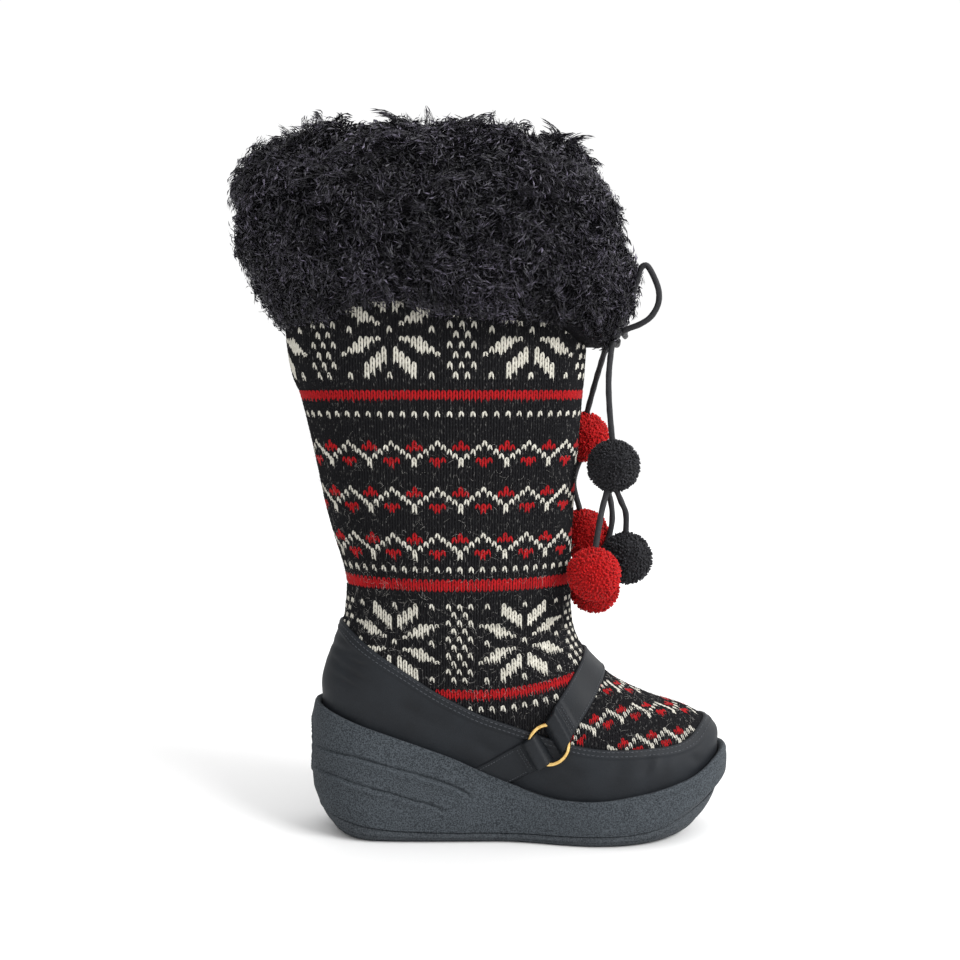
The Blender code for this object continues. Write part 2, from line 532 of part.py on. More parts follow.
def make_straps(parts, cutters, grid, normals):
    """Instep strap and side tab, each folded round the ring that joins them."""
    lift = 2 * GAP + LEATHER
    last = 16
    ring_x, ring_z = RING_AT[0] * SOLE_LENGTH, RING_AT[1] * SOLE_HEIGHT
    wrap = guide(shell("strap_wrap", grid[:last], normals[:last], lift, lift + LEATHER, cutters))
    work = bmesh.new()
    work.from_mesh(wrap.data)
    tree = BVHTree.FromBMesh(work)
    work.free()
    strap_angle = math.atan2(STRAP_TO[1] * SOLE_HEIGHT - ring_z, STRAP_TO[0] * SOLE_LENGTH - ring_x)
    tab_angle = math.atan2(TAB_TO[1] * SOLE_HEIGHT - ring_z, TAB_TO[0] * SOLE_LENGTH - ring_x)
    major = (RING_OUTSIDE - RING_WIRE) / 2
    bead = RING_WIRE / 2 + GAP + LEATHER
    facing = tree.ray_cast(Vector((ring_x, -BALL_WIDTH, ring_z)), Vector((0, 1, 0)))[1]
    seats = []
    for angle in (strap_angle, tab_angle):
        start = Vector((ring_x + major * math.cos(angle), -BALL_WIDTH, ring_z + major * math.sin(angle)))
        seats.append(tree.ray_cast(start, Vector((0, 1, 0)))[0])
    chord = (seats[1] - seats[0]).normalized()
    facing = (facing - chord * facing.dot(chord)).normalized()
    start = Vector((ring_x, 0, ring_z))
    reach = (seats[0] - start).dot(facing) / facing.y
    centre = start + Vector((0, reach, 0)) + facing * (bead - LEATHER + 2 * GAP)
    frame = Matrix.Translation(centre) @ facing.to_track_quat("Z", "Y").to_matrix().to_4x4()
    ring = torus_object("ring", frame, major, RING_WIRE / 2, parts, "gold")
    lip = [(x * SOLE_LENGTH, z * SOLE_HEIGHT + 3 * GAP) for x, z in LIP_LINE]
    corners = lip + [(SOLE_LENGTH, lip[-1][1]), (SOLE_LENGTH, -SOLE_HEIGHT),
                     (-SOLE_LENGTH, -SOLE_HEIGHT), (-SOLE_LENGTH, lip[0][1])]
    under_lip = side_prism("under_lip", corners, -BALL_WIDTH, BALL_WIDTH, cutters)
    under_strap = guide(shell("under_strap", grid[:last], normals[:last], 0.0, lift, cutters))
    clear = guide(torus_object("ring_room", frame, major, RING_WIRE / 2 + GAP, cutters, around=28, tube=8))
    made = []
    for name, angle, far, near_inner in (("instep_strap", strap_angle, 0.075, -0.075),
                                         ("strap_tab", tab_angle, 0.055, None)):
        piece = shell(name, grid[:last], normals[:last], lift, lift + LEATHER, parts, "leather")
        outer_bar = side_prism(name + "_outer_bar", bar_corners((ring_x, ring_z), angle, major, far, STRAP_WIDTH),
                               -BALL_WIDTH, 0.0, cutters)
        if near_inner is None:
            boolean(piece, outer_bar, "INTERSECT")
        else:
            inner_bar = side_prism(name + "_inner_bar",
                                   bar_corners((ring_x, ring_z), angle, near_inner, far, STRAP_WIDTH),
                                   -GAP, BALL_WIDTH, cutters)
            boolean(outer_bar, inner_bar, "UNION")
            boolean(piece, outer_bar, "INTERSECT")
        boolean(piece, under_lip, "DIFFERENCE")
        fold = guide(torus_object(name + "_fold", frame, major, bead, cutters, around=28, tube=10))
        sector = side_prism(name + "_sector", bar_corners((ring_x, ring_z), angle, RING_WIRE, 2 * major,
                                                          STRAP_WIDTH), -BALL_WIDTH, 0.0, cutters)
        boolean(fold, sector, "INTERSECT")
        boolean(fold, under_strap, "DIFFERENCE")
        boolean(piece, fold, "UNION")
        boolean(piece, clear, "DIFFERENCE")
        smooth(piece)
        made.append(piece)
    smooth(ring)
    return made + [ring]


def make_fur_cuff(parts, cutters, grid, normals, dice):
    """Deep fur folded over the collar: an arched ring with locks drawn out of its outside."""
    low, top = grid[-2], grid[-1]
    plan = normals[-1] * np.array([1, 1, 0])
    plan = plan / np.linalg.norm(plan, axis=1, keepdims=True)
    height = FUR_CREST - FUR_FOOT
    share = (1 - np.cos(np.linspace(0, 2 * math.pi, COLUMNS, endpoint=False))) / 2
    dip = 0.10 * height * share ** 4

    def base(z):
        part = (z - low[:, 2:]) / (top[:, 2:] - low[:, 2:])
        return low + (top - low) * part

    def loop(out, z):
        level = np.broadcast_to(np.asarray(z, dtype=float), (COLUMNS,))
        return base(level[:, None]) + plan * np.broadcast_to(out, (COLUMNS,))[:, None]

    loops = []
    for out, rise in FUR_OUTSIDE:
        bumps = dice.uniform(-0.07, 0.07, COLUMNS) * FUR_DEPTH
        lift = dice.uniform(-0.012, 0.012, COLUMNS) * height
        loops.append(loop(out * FUR_DEPTH + bumps, FUR_FOOT + rise * height + lift - dip * ease((rise - 0.5) / 0.4)))
    for out, rise in FUR_INSIDE:
        loops.append(loop(-UPPER_WALL - out * FUR_LINING, FUR_FOOT + rise * height))
    seat = SHAFT_TOP + GAP
    loops.append(loop(-UPPER_WALL - 3 * GAP, FUR_FOOT + FUR_INSIDE[-1][1] * height))
    loops.append(loop(-UPPER_WALL - 3 * GAP, seat))
    loops.append(loop(2 * GAP, seat))
    loops.append(loop(2 * GAP, FUR_FOOT))
    loops = np.array(loops)
    faces = []
    for band in range(len(loops)):
        over = (band + 1) % len(loops)
        for column in range(COLUMNS):
            after = (column + 1) % COLUMNS
            faces.append((band * COLUMNS + column, band * COLUMNS + after,
                          over * COLUMNS + after, over * COLUMNS + column))
    cuff = mesh_object("fur_cuff", loops.reshape(-1, 3), faces, parts, "fur")

    work = bmesh.new()
    work.from_mesh(cuff.data)
    work.faces.ensure_lookup_table()
    locks = []
    for band in range(1, len(FUR_OUTSIDE) - 1):
        for column in range(COLUMNS):
            front_low = column in range(COLUMNS // 2 - 3, COLUMNS // 2 + 5) and band < 7
            if (column + 2 * band) % 3 == 0 and not front_low:
                locks.append(work.faces[band * COLUMNS + column])
    for face in bmesh.ops.extrude_discrete_faces(work, faces=locks)["faces"]:
        centre = face.calc_center_median()
        out = face.normal.normalized()
        reach = TUFT * dice.uniform(0.5, 1.0)
        lean = Vector((dice.uniform(-0.3, 0.3), dice.uniform(-0.3, 0.3), dice.uniform(-0.45, 0.2))) * reach
        for vert in face.verts:
            vert.co = centre + (vert.co - centre) * 0.35 + out * reach * 0.8 + lean
    bmesh.ops.recalc_face_normals(work, faces=work.faces)
    work.to_mesh(cuff.data)
    work.free()

    work = bmesh.new()
    bmesh.ops.create_uvsphere(work, u_segments=12, v_segments=8, radius=KNOT / 2 + GAP)
    bmesh.ops.translate(work, vec=KNOT_AT, verts=work.verts)
    mesh = bpy.data.meshes.new("knot_room")
    work.to_mesh(mesh)
    work.free()
    room = bpy.data.objects.new("knot_room", mesh)
    cutters.objects.link(room)
    boolean(cuff, guide(room), "DIFFERENCE")
    for name in ("cord_loop_outer", "cord_tail_outer", "cord_tail_inner", "cord_loop_inner"):
        channel = rope(name + "_room", lengthened(smooth_route(CORDS[name], CORD * 2.5), 2 * GAP),
                       CORD + 4 * GAP, cutters, sides_step=1)
        boolean(cuff, guide(channel), "DIFFERENCE")
    return cuff


def make_drawstring(parts, cutters, dice):
    """Knot, loops, tails and drops of the cord, and the pompoms that they carry."""
    work = bmesh.new()
    bmesh.ops.create_uvsphere(work, u_segments=10, v_segments=7, radius=KNOT / 2)
    bmesh.ops.translate(work, vec=KNOT_AT, verts=work.verts)
    mesh = bpy.data.meshes.new("cord_knot")
    work.to_mesh(mesh)
    work.free()
    mesh.materials.append(material("cord"))
    knot = bpy.data.objects.new("cord_knot", mesh)
    parts.objects.link(knot)
    smooth(knot)
    for name, route in CORDS.items():
        smooth(rope(name, smooth_route(route, CORD * 2.5), CORD, parts, "cord"))
    for name, centre in POMPOMS.items():
        yarn = "red_yarn" if "red" in name else "black_yarn"
        work = bmesh.new()
        bmesh.ops.create_icosphere(work, subdivisions=2, radius=POMPOM / 2 * 0.93)
        tufts = [face for index, face in enumerate(list(work.faces)) if index % 4 == 0]
        for face in bmesh.ops.extrude_discrete_faces(work, faces=tufts)["faces"]:
            middle = face.calc_center_median()
            for vert in face.verts:
                vert.co = middle + (vert.co - middle) * 0.45
                vert.co += middle.normalized() * (POMPOM / 2 - middle.length) * dice.uniform(0.8, 1.0)
        bmesh.ops.recalc_face_normals(work, faces=work.faces)
        bmesh.ops.translate(work, vec=centre, verts=work.verts)
        mesh = bpy.data.meshes.new(name)
        work.to_mesh(mesh)
        work.free()
        mesh.materials.append(material(yarn))
        pompom = bpy.data.objects.new(name, mesh)
        parts.objects.link(pompom)
        for cord, route in CORDS.items():
            if min((Vector(end) - Vector(centre)).length for end in (route[0], route[-1])) < POMPOM / 2:
                reach = lengthened(smooth_route(route, CORD * 2.5), 2 * GAP)
                hole = rope(f"{cord}_in_{name}", reach, CORD + 2 * GAP, cutters)
                boolean(pompom, guide(hole), "DIFFERENCE")


def main():
    clear_scene()
    parts = collection("wedge_boot")
    cutters = collection("cutters")
    dice = np.random.default_rng(7)
    grid = upper_grid()
    normals = grid_normals(grid)
    feather, outward = grid[0], normals[0]
    make_outsole(parts, cutters)
    make_midsole(parts, cutters, feather, outward)
    make_insole(parts, feather, outward)
    make_upper(parts, grid, normals)
    make_foxing(parts, cutters, grid, normals)
    make_straps(parts, cutters, grid, normals)
    make_fur_cuff(parts, cutters, grid, normals, dice)
    make_drawstring(parts, cutters, dice)


main()
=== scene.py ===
"""Looks of the knitted wedge boot: finish of every surface, real stitches, fur and cords.
Everything is in metres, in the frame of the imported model: +X to the toe, +Z up, -Y outer side."""

import math

import bmesh
import bpy
import numpy as np
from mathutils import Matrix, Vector


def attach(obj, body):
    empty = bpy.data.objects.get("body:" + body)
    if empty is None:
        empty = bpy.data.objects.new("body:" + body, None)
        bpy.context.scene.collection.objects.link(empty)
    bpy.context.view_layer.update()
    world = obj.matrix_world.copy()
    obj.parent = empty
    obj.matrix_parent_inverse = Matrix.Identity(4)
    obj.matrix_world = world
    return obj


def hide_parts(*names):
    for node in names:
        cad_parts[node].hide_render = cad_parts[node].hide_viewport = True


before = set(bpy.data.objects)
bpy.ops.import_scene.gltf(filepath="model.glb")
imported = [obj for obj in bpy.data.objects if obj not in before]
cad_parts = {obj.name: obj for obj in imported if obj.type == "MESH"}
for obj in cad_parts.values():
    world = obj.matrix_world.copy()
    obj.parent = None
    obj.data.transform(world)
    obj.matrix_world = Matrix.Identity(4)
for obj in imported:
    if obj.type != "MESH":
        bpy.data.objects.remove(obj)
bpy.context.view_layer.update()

dice = np.random.default_rng(11)

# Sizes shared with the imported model
SOLE_LENGTH = 0.261
SOLE_HEIGHT = 0.081
BALL_WIDTH = 0.092
SHAFT_TOP = 0.398
UPPER_WALL = 0.003
LEATHER = 0.0015
SOLE_LIP = 0.003
GAP = 0.0003
FUR_DEPTH = 0.0305
FUR_FOOT = 0.306
FUR_CREST = 0.431
FUR_LINING = 0.015
RING_OUTSIDE = 0.026
RING_WIRE = 0.0025
STRAP_WIDTH = 0.0185
CORD = 0.0035
POMPOM = 0.032
HALF_BALL = BALL_WIDTH / 2
TOE_LIP = 0.654 * SOLE_HEIGHT
TOE_SWING = 0.004
WELT = 3 * GAP + LEATHER

# Lines along the sole: x as a share of SOLE_LENGTH, z as a share of SOLE_HEIGHT
FLOOR_LINE = [(-0.502, 0.173), (-0.475, 0.111), (-0.444, 0.050), (-0.406, 0.010), (-0.372, 0.0),
              (0.238, 0.0), (0.307, 0.011), (0.364, 0.035), (0.414, 0.078), (0.452, 0.148),
              (0.483, 0.235), (0.502, 0.296)]
PARTING_LINE = [(-0.502, 0.216), (-0.460, 0.183), (-0.414, 0.160), (-0.372, 0.128), (-0.303, 0.099),
                (-0.192, 0.085), (0.096, 0.083), (0.241, 0.096), (0.322, 0.135), (0.406, 0.241),
                (0.475, 0.340), (0.502, 0.383)]
LIP_LINE = [(-0.502, 1.006), (-0.397, 0.901), (-0.314, 0.815), (-0.230, 0.722), (-0.159, 0.642),
            (-0.106, 0.562), (-0.054, 0.488), (0.0, 0.426), (0.038, 0.383), (0.077, 0.354),
            (0.134, 0.342), (0.188, 0.349), (0.245, 0.377), (0.322, 0.420), (0.406, 0.488),
            (0.444, 0.556), (0.475, 0.617), (0.502, 0.654)]
FOOTBED_LINE = [(-0.502, 0.901), (-0.383, 0.815), (-0.230, 0.623), (-0.115, 0.463), (0.0, 0.327),
                (0.096, 0.259), (0.192, 0.247), (0.287, 0.272), (0.364, 0.321), (0.429, 0.383),
                (0.502, 0.457)]
FOXING_LINE = [(-0.53, 1.66), (-0.418, 1.605), (-0.375, 1.494), (-0.337, 1.414), (-0.276, 1.296),
               (-0.230, 1.198), (-0.184, 1.111), (-0.111, 0.994), (-0.083, 0.957), (0.019, 0.846),
               (0.115, 0.747), (0.169, 0.716), (0.226, 0.704), (0.341, 0.704), (0.375, 0.720),
               (0.398, 0.747), (0.418, 0.794), (0.433, 0.840), (0.53, 0.87)]

# Rings of the upper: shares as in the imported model
RING_COLUMNS = ("back", "back_z", "front", "front_z", "heel", "waist", "ball",
                "round_back", "round_front", "foot")
RINGS = [
    (-0.471, 0.035, 0.470, 0.023, 0.717, 0.717, 0.891, 0.16, 0.27, 0.95),
    (-0.461, 0.069, 0.443, 0.042, 0.739, 0.783, 0.859, 0.18, 0.30, 0.85),
    (-0.450, 0.093, 0.410, 0.057, 0.750, 0.815, 0.815, 0.20, 0.33, 0.75),
    (-0.443, 0.110, 0.375, 0.067, 0.761, 0.837, 0.783, 0.22, 0.35, 0.65),
    (-0.435, 0.129, 0.337, 0.075, 0.772, 0.848, 0.772, 0.24, 0.37, 0.56),
    (-0.427, 0.148, 0.299, 0.086, 0.783, 0.859, 0.772, 0.27, 0.39, 0.48),
    (-0.421, 0.167, 0.261, 0.099, 0.793, 0.870, 0.783, 0.30, 0.41, 0.40),
    (-0.418, 0.188, 0.222, 0.116, 0.804, 0.870, 0.804, 0.33, 0.43, 0.33),
    (-0.416, 0.210, 0.188, 0.139, 0.815, 0.870, 0.826, 0.36, 0.45, 0.26),
    (-0.416, 0.233, 0.156, 0.165, 0.826, 0.880, 0.848, 0.40, 0.46, 0.20),
    (-0.421, 0.256, 0.135, 0.191, 0.837, 0.891, 0.870, 0.43, 0.47, 0.14),
    (-0.429, 0.279, 0.124, 0.220, 0.859, 0.902, 0.891, 0.46, 0.48, 0.09),
    (-0.441, 0.309, 0.120, 0.258, 0.880, 0.913, 0.913, 0.48, 0.49, 0.05),
    (-0.454, 0.344, 0.120, 0.304, 0.902, 0.924, 0.924, 0.50, 0.50, 0.02),
    (-0.469, 0.391, 0.122, 0.368, 0.924, 0.924, 0.924, 0.50, 0.50, 0.0),
    (-0.485, 0.454, 0.128, 0.443, 0.935, 0.935, 0.935, 0.50, 0.50, 0.0),
    (-0.504, 0.524, 0.136, 0.525, 0.957, 0.957, 0.957, 0.50, 0.50, 0.0),
    (-0.525, 0.593, 0.146, 0.612, 0.978, 0.978, 0.978, 0.50, 0.50, 0.0),
    (-0.559, 0.691, 0.157, 0.716, 1.0, 1.0, 1.0, 0.50, 0.50, 0.0),
    (-0.586, 1.0, 0.172, 1.0, 1.022, 1.022, 1.022, 0.50, 0.50, 0.0),
]
FEATHER_ENDS = (-0.469, 0.471)
FEATHER_SHAPE = (0.674, 0.663, 0.880, 0.145, 0.25)
OUTSOLE_SIDE = [(-0.456, 0.433, 0.652, 0.620, 0.880, 0.0), (-0.471, 0.462, 0.735, 0.700, 0.950, 0.45),
                (-0.479, 0.475, 0.750, 0.717, 0.967, 1.0)]
MIDSOLE_SIDE = [(-0.483, 0.481, 0.765, 0.735, 0.985, 0.0), (-0.497, 0.496, 0.792, 0.757, 1.010, 0.16),
                (-0.502, 0.500, 0.804, 0.770, 1.018, 0.50), (-0.500, 0.500, 0.800, 0.770, 1.013, 0.80)]
SOLE_ROUNDS = (0.15, 0.26)
UPPER_GROOVE = [(-0.478, 0.67), (-0.383, 0.642), (-0.300, 0.568), (-0.230, 0.509), (-0.177, 0.456),
                (-0.131, 0.389), (-0.119, 0.352)]
LOWER_GROOVE = [(-0.474, 0.50), (-0.425, 0.478), (-0.372, 0.433), (-0.300, 0.374), (-0.247, 0.321),
                (-0.201, 0.284), (-0.182, 0.247)]
LUG_PLACES = (-0.32, -0.26, -0.20, -0.14, 0.02, 0.08, 0.14, 0.20)
LUG_GROOVE = 0.0035
GROOVE = 0.0026
HEEL_OVAL = (0.010, 0.0145, 0.001)
HEEL_OVAL_Z = 0.64
FUR_OUTSIDE = [(0.26, 0.0), (0.50, 0.05), (0.66, 0.11), (0.80, 0.19), (0.92, 0.28), (1.0, 0.40),
               (1.02, 0.54), (1.0, 0.68), (0.86, 0.82), (0.60, 0.93), (0.26, 1.0), (-0.16, 0.985)]
FUR_INSIDE = [(1.0, 0.90), (1.08, 0.76), (0.80, 0.62)]
RING_AT = (0.061, 0.765)
STRAP_TO = (0.162, 1.225)
TAB_TO = (-0.075, 0.49)
KNOT_AT = (0.0585, -0.0095, 0.3090)
POMPOMS = {
    "pompom_black_upper": (0.0575, -0.0150, 0.2267),
    "pompom_red_lower": (0.0440, -0.0290, 0.1617),
    "pompom_black_lower": (0.0668, -0.0020, 0.1680),
    "pompom_red_upper_inner": (0.0430, 0.0320, 0.2430),
    "pompom_red_middle_inner": (0.0425, 0.0265, 0.1800),
    "pompom_red_lower_inner": (0.0480, 0.0150, 0.1470),
}
# Routes of the drawstring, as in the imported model: points, far end, and the pompom it carries
CORDS = {
    "cord_tail_outer": ([(0.0578, -0.0112, 0.3045), (0.0560, -0.0130, 0.2960), (0.0545, -0.0150, 0.2800),
                         (0.0550, -0.0155, 0.2620), (0.0570, -0.0151, 0.2400)], "pompom_black_upper"),
    "cord_tail_inner": ([(0.0561, -0.0066, 0.3057), (0.0540, 0.0020, 0.2990), (0.0520, 0.0120, 0.2900),
                         (0.0490, 0.0220, 0.2770), (0.0443, 0.0308, 0.2570)], "pompom_red_upper_inner"),
    "cord_loop_outer": ([(0.0633, -0.0105, 0.3101), (0.0680, -0.0125, 0.3122), (0.0740, -0.0145, 0.3145),
                         (0.0805, -0.0160, 0.3190), (0.0848, -0.0165, 0.3265), (0.0853, -0.0170, 0.3345),
                         (0.0825, -0.0172, 0.3430), (0.0780, -0.0172, 0.3505), (0.0743, -0.0165, 0.3490),
                         (0.0722, -0.0155, 0.3420), (0.0700, -0.0142, 0.3350), (0.0668, -0.0130, 0.3265),
                         (0.0632, -0.0115, 0.3187), (0.0605, -0.0102, 0.3138)], None),
    "cord_loop_inner": ([(0.0632, -0.0062, 0.3100), (0.0665, 0.0030, 0.3085), (0.0678, 0.0130, 0.3085),
                         (0.0684, 0.0240, 0.3155), (0.0670, 0.0340, 0.3255), (0.0635, 0.0425, 0.3355),
                         (0.0595, 0.0478, 0.3400), (0.0572, 0.0470, 0.3330), (0.0592, 0.0410, 0.3215),
                         (0.0612, 0.0310, 0.3115), (0.0620, 0.0200, 0.3045), (0.0622, 0.0085, 0.3025),
                         (0.0614, -0.0042, 0.3050)], None),
    "cord_drop_red_lower": ([(0.0537, -0.0180, 0.2135), (0.0500, -0.0215, 0.2010),
                             (0.0475, -0.0250, 0.1900), (0.0448, -0.0285, 0.1755)], "pompom_red_lower"),
    "cord_drop_black_lower": ([(0.0588, -0.0138, 0.2130), (0.0630, -0.0085, 0.2040),
                               (0.0665, -0.0035, 0.1955), (0.0665, -0.0020, 0.1815)], "pompom_black_lower"),
    "cord_drop_red_middle": ([(0.0410, 0.0317, 0.2295), (0.0370, 0.0300, 0.2190), (0.0362, 0.0285, 0.2100),
                              (0.0405, 0.0270, 0.1935)], "pompom_red_middle_inner"),
    "cord_drop_red_lower_inner": ([(0.0495, 0.0297, 0.2310), (0.0570, 0.0230, 0.2120),
                                   (0.0600, 0.0170, 0.1930), (0.0570, 0.0155, 0.1770),
                                   (0.0505, 0.0149, 0.1605)], "pompom_red_lower_inner"),
}

# Camera: level, 820 mm in front of the boot's middle plane, horizon above mid-picture
CAMERA_AT = (-0.0252, -0.820, 0.2737)
CAMERA_LENS = 48.73
CAMERA_SHIFT = -0.09375


# Small helpers

def make_object(name, points, faces, finish, body="root", smooth=True):
    """A mesh piece that rides on the boot; faces is an array of triangles or quads."""
    points = np.asarray(points, dtype=np.float32).reshape(-1, 3)
    faces = np.asarray(faces, dtype=np.int32)
    mesh = bpy.data.meshes.new(name)
    mesh.vertices.add(len(points))
    mesh.vertices.foreach_set("co", points.ravel())
    corners = faces.shape[1]
    mesh.loops.add(faces.size)
    mesh.loops.foreach_set("vertex_index", faces.ravel())
    mesh.polygons.add(len(faces))
    mesh.polygons.foreach_set("loop_start", np.arange(0, faces.size, corners, dtype=np.int32))
    mesh.polygons.foreach_set("loop_total", np.full(len(faces), corners, dtype=np.int32))
    mesh.update(calc_edges=True)
    mesh.validate()
    if smooth:
        mesh.shade_smooth()
    made = bpy.data.objects.new(name, mesh)
    bpy.context.scene.collection.objects.link(made)
    mesh.materials.append(finish)
    if body:
        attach(made, body)
    return made


def unit(vectors):
    return vectors / np.maximum(np.linalg.norm(vectors, axis=-1, keepdims=True), 1e-12)


def read_table(table, place):
    """Value at a place in a table of (place, value)."""
    return np.interp(place, *zip(*table))


def line_height(line, x):
    return read_table(line, np.asarray(x) / SOLE_LENGTH) * SOLE_HEIGHT


def soft_line(line, x, reach=0.012):
    """The same line with its corners rounded over a reach."""
    steps = (-1.0, -0.5, 0.0, 0.5, 1.0)
    return sum(line_height(line, np.asarray(x) + step * reach / 2) for step in steps) / len(steps)


def curve(before, start, end, after, t):
    """Smooth curve from start to end, given the points on either side of them."""
    return 0.5 * (2 * start + (end - before) * t + (2 * before - 5 * start + 4 * end - after) * t ** 2
                  + (3 * start - before - 3 * end + after) * t ** 3)


def xyz(x, y, z):
    """Points from their coordinates."""
    return np.stack([x, y, z], axis=1)


def lengths_along(line):
    """Distance of each point of a line from its start."""
    return np.concatenate([[0.0], np.cumsum(np.linalg.norm(np.diff(line, axis=0), axis=1))])


def read_line(line, lengths, places):
    """Points of a line at the given distances from its start."""
    return np.stack([np.interp(places, lengths, line[:, axis]) for axis in range(3)], axis=1)


def ease(share):
    share = np.clip(share, 0.0, 1.0)
    return share * share * (3 - 2 * share)


def end_round(distance, radius):
    inside = np.clip(1 - distance / radius, 0.0, 1.0)
    return np.sqrt(1 - inside ** 2)


def outline(turn, back, front, heel, waist, ball, round_back, round_front, swing):
    """Plan of a foot-shaped ring at the given turns round it, and the share of its length."""
    share = (1 - np.cos(turn)) / 2
    width = heel + (waist - heel) * ease((share - 0.15) / 0.3)
    width = width + (ball - waist) * ease((share - 0.45) / 0.27)
    width = width * end_round(share, round_back) * end_round(1 - share, round_front)
    middle = swing * TOE_SWING * (share ** 2 - np.sin(math.pi * share))
    side = np.where(np.mod(turn, 2 * math.pi) <= math.pi, -1.0, 1.0)
    x = back + (front - back) * share
    return x, middle + side * width, share


def upper_rings(turn):
    """The upper's rings at any turns: points[ring, turn]."""
    back, front = (end * SOLE_LENGTH for end in FEATHER_ENDS)
    heel, waist, ball, round_back, round_front = FEATHER_SHAPE
    x, y, _ = outline(turn, back, front, heel * HALF_BALL, waist * HALF_BALL, ball * HALF_BALL,
                      round_back, round_front, 1.0)
    rings = [xyz(x, y, soft_line(FOOTBED_LINE, x) + 2 * GAP), xyz(x, y, soft_line(LIP_LINE, x) + LEATHER)]
    for row in RINGS:
        ring = dict(zip(RING_COLUMNS, row))
        x, y, share = outline(turn, ring["back"] * SOLE_LENGTH, ring["front"] * SOLE_LENGTH,
                              ring["heel"] * HALF_BALL, ring["waist"] * HALF_BALL,
                              ring["ball"] * HALF_BALL, ring["round_back"], ring["round_front"],
                              ring["foot"])
        back_z = SOLE_HEIGHT + ring["back_z"] * (SHAFT_TOP - SOLE_HEIGHT)
        front_z = TOE_LIP + ring["front_z"] * (SHAFT_TOP - TOE_LIP)
        ends = soft_line(LIP_LINE, np.array([ring["back"], ring["front"]]) * SOLE_LENGTH)
        dip = soft_line(LIP_LINE, x) - (ends[0] + (ends[1] - ends[0]) * share)
        rings.append(xyz(x, y, back_z + (front_z - back_z) * share + ring["foot"] * dip))
    return np.array(rings)


def between_rings(rings, places):
    """Smooth curve through the rings, read at fractional ring numbers."""
    count = len(rings)
    places = np.clip(places, 0, count - 1.0001)
    low = np.floor(places).astype(int)
    nearby = [rings[np.clip(low + step, 0, count - 1)] for step in (-1, 0, 1, 2)]
    return curve(*nearby, (places - low)[:, None, None])


def grid_normals(points):
    """Outward direction at each point of a grid of closed rings."""
    along = np.roll(points, -1, axis=1) - np.roll(points, 1, axis=1)
    return unit(np.cross(along, np.gradient(points, axis=0)))


def grid_faces(rows, columns, wrap=True):
    """Quads of a grid of points; wrap joins the last column to the first."""
    across = np.arange(columns if wrap else columns - 1)
    row, column = np.meshgrid(np.arange(rows - 1), across, indexing="ij")
    after = (column + 1) % columns
    quads = np.stack([row * columns + column, row * columns + after,
                      (row + 1) * columns + after, (row + 1) * columns + column], axis=-1)
    return quads.reshape(-1, 4)


def wall(name, outside, inside, finish, wrap=True):
    """A closed wall between two grids of the same shape."""
    rows, columns = outside.shape[:2]
    points = np.concatenate([outside.reshape(-1, 3), inside.reshape(-1, 3)])
    step = rows * columns
    faces = [grid_faces(rows, columns, wrap), grid_faces(rows, columns, wrap)[:, ::-1] + step]
    ends = np.arange(columns)
    after = (ends + 1) % columns
    if not wrap:
        ends, after = ends[:-1], after[:-1]
    faces.append(np.stack([after, ends, ends + step, after + step], axis=1))
    top = (rows - 1) * columns
    faces.append(np.stack([ends + top, after + top, after + top + step, ends + top + step], axis=1))
    if not wrap:
        rise = np.arange(rows - 1) * columns
        faces.append(np.stack([rise, rise + columns, rise + columns + step, rise + step], axis=1))
        last = rise + columns - 1
        faces.append(np.stack([last + columns, last, last + step, last + columns + step], axis=1))
    return make_object(name, points, np.concatenate(faces), finish)


def smooth_route(points, spacing):
    """Even steps along a smooth curve through the route's points."""
    given = [np.array(p) for p in points]
    ends = [given[0] * 2 - given[1]] + given + [given[-1] * 2 - given[-2]]
    fine = []
    for index in range(1, len(ends) - 2):
        before, start, end, after = ends[index - 1:index + 3]
        for step in range(12):
            fine.append(curve(before, start, end, after, step / 12))
    fine = np.array(fine + [given[-1]])
    lengths = lengths_along(fine)
    count = max(3, int(round(lengths[-1] / spacing)) + 1)
    return read_line(fine, lengths, np.linspace(0, lengths[-1], count))


# Finishes

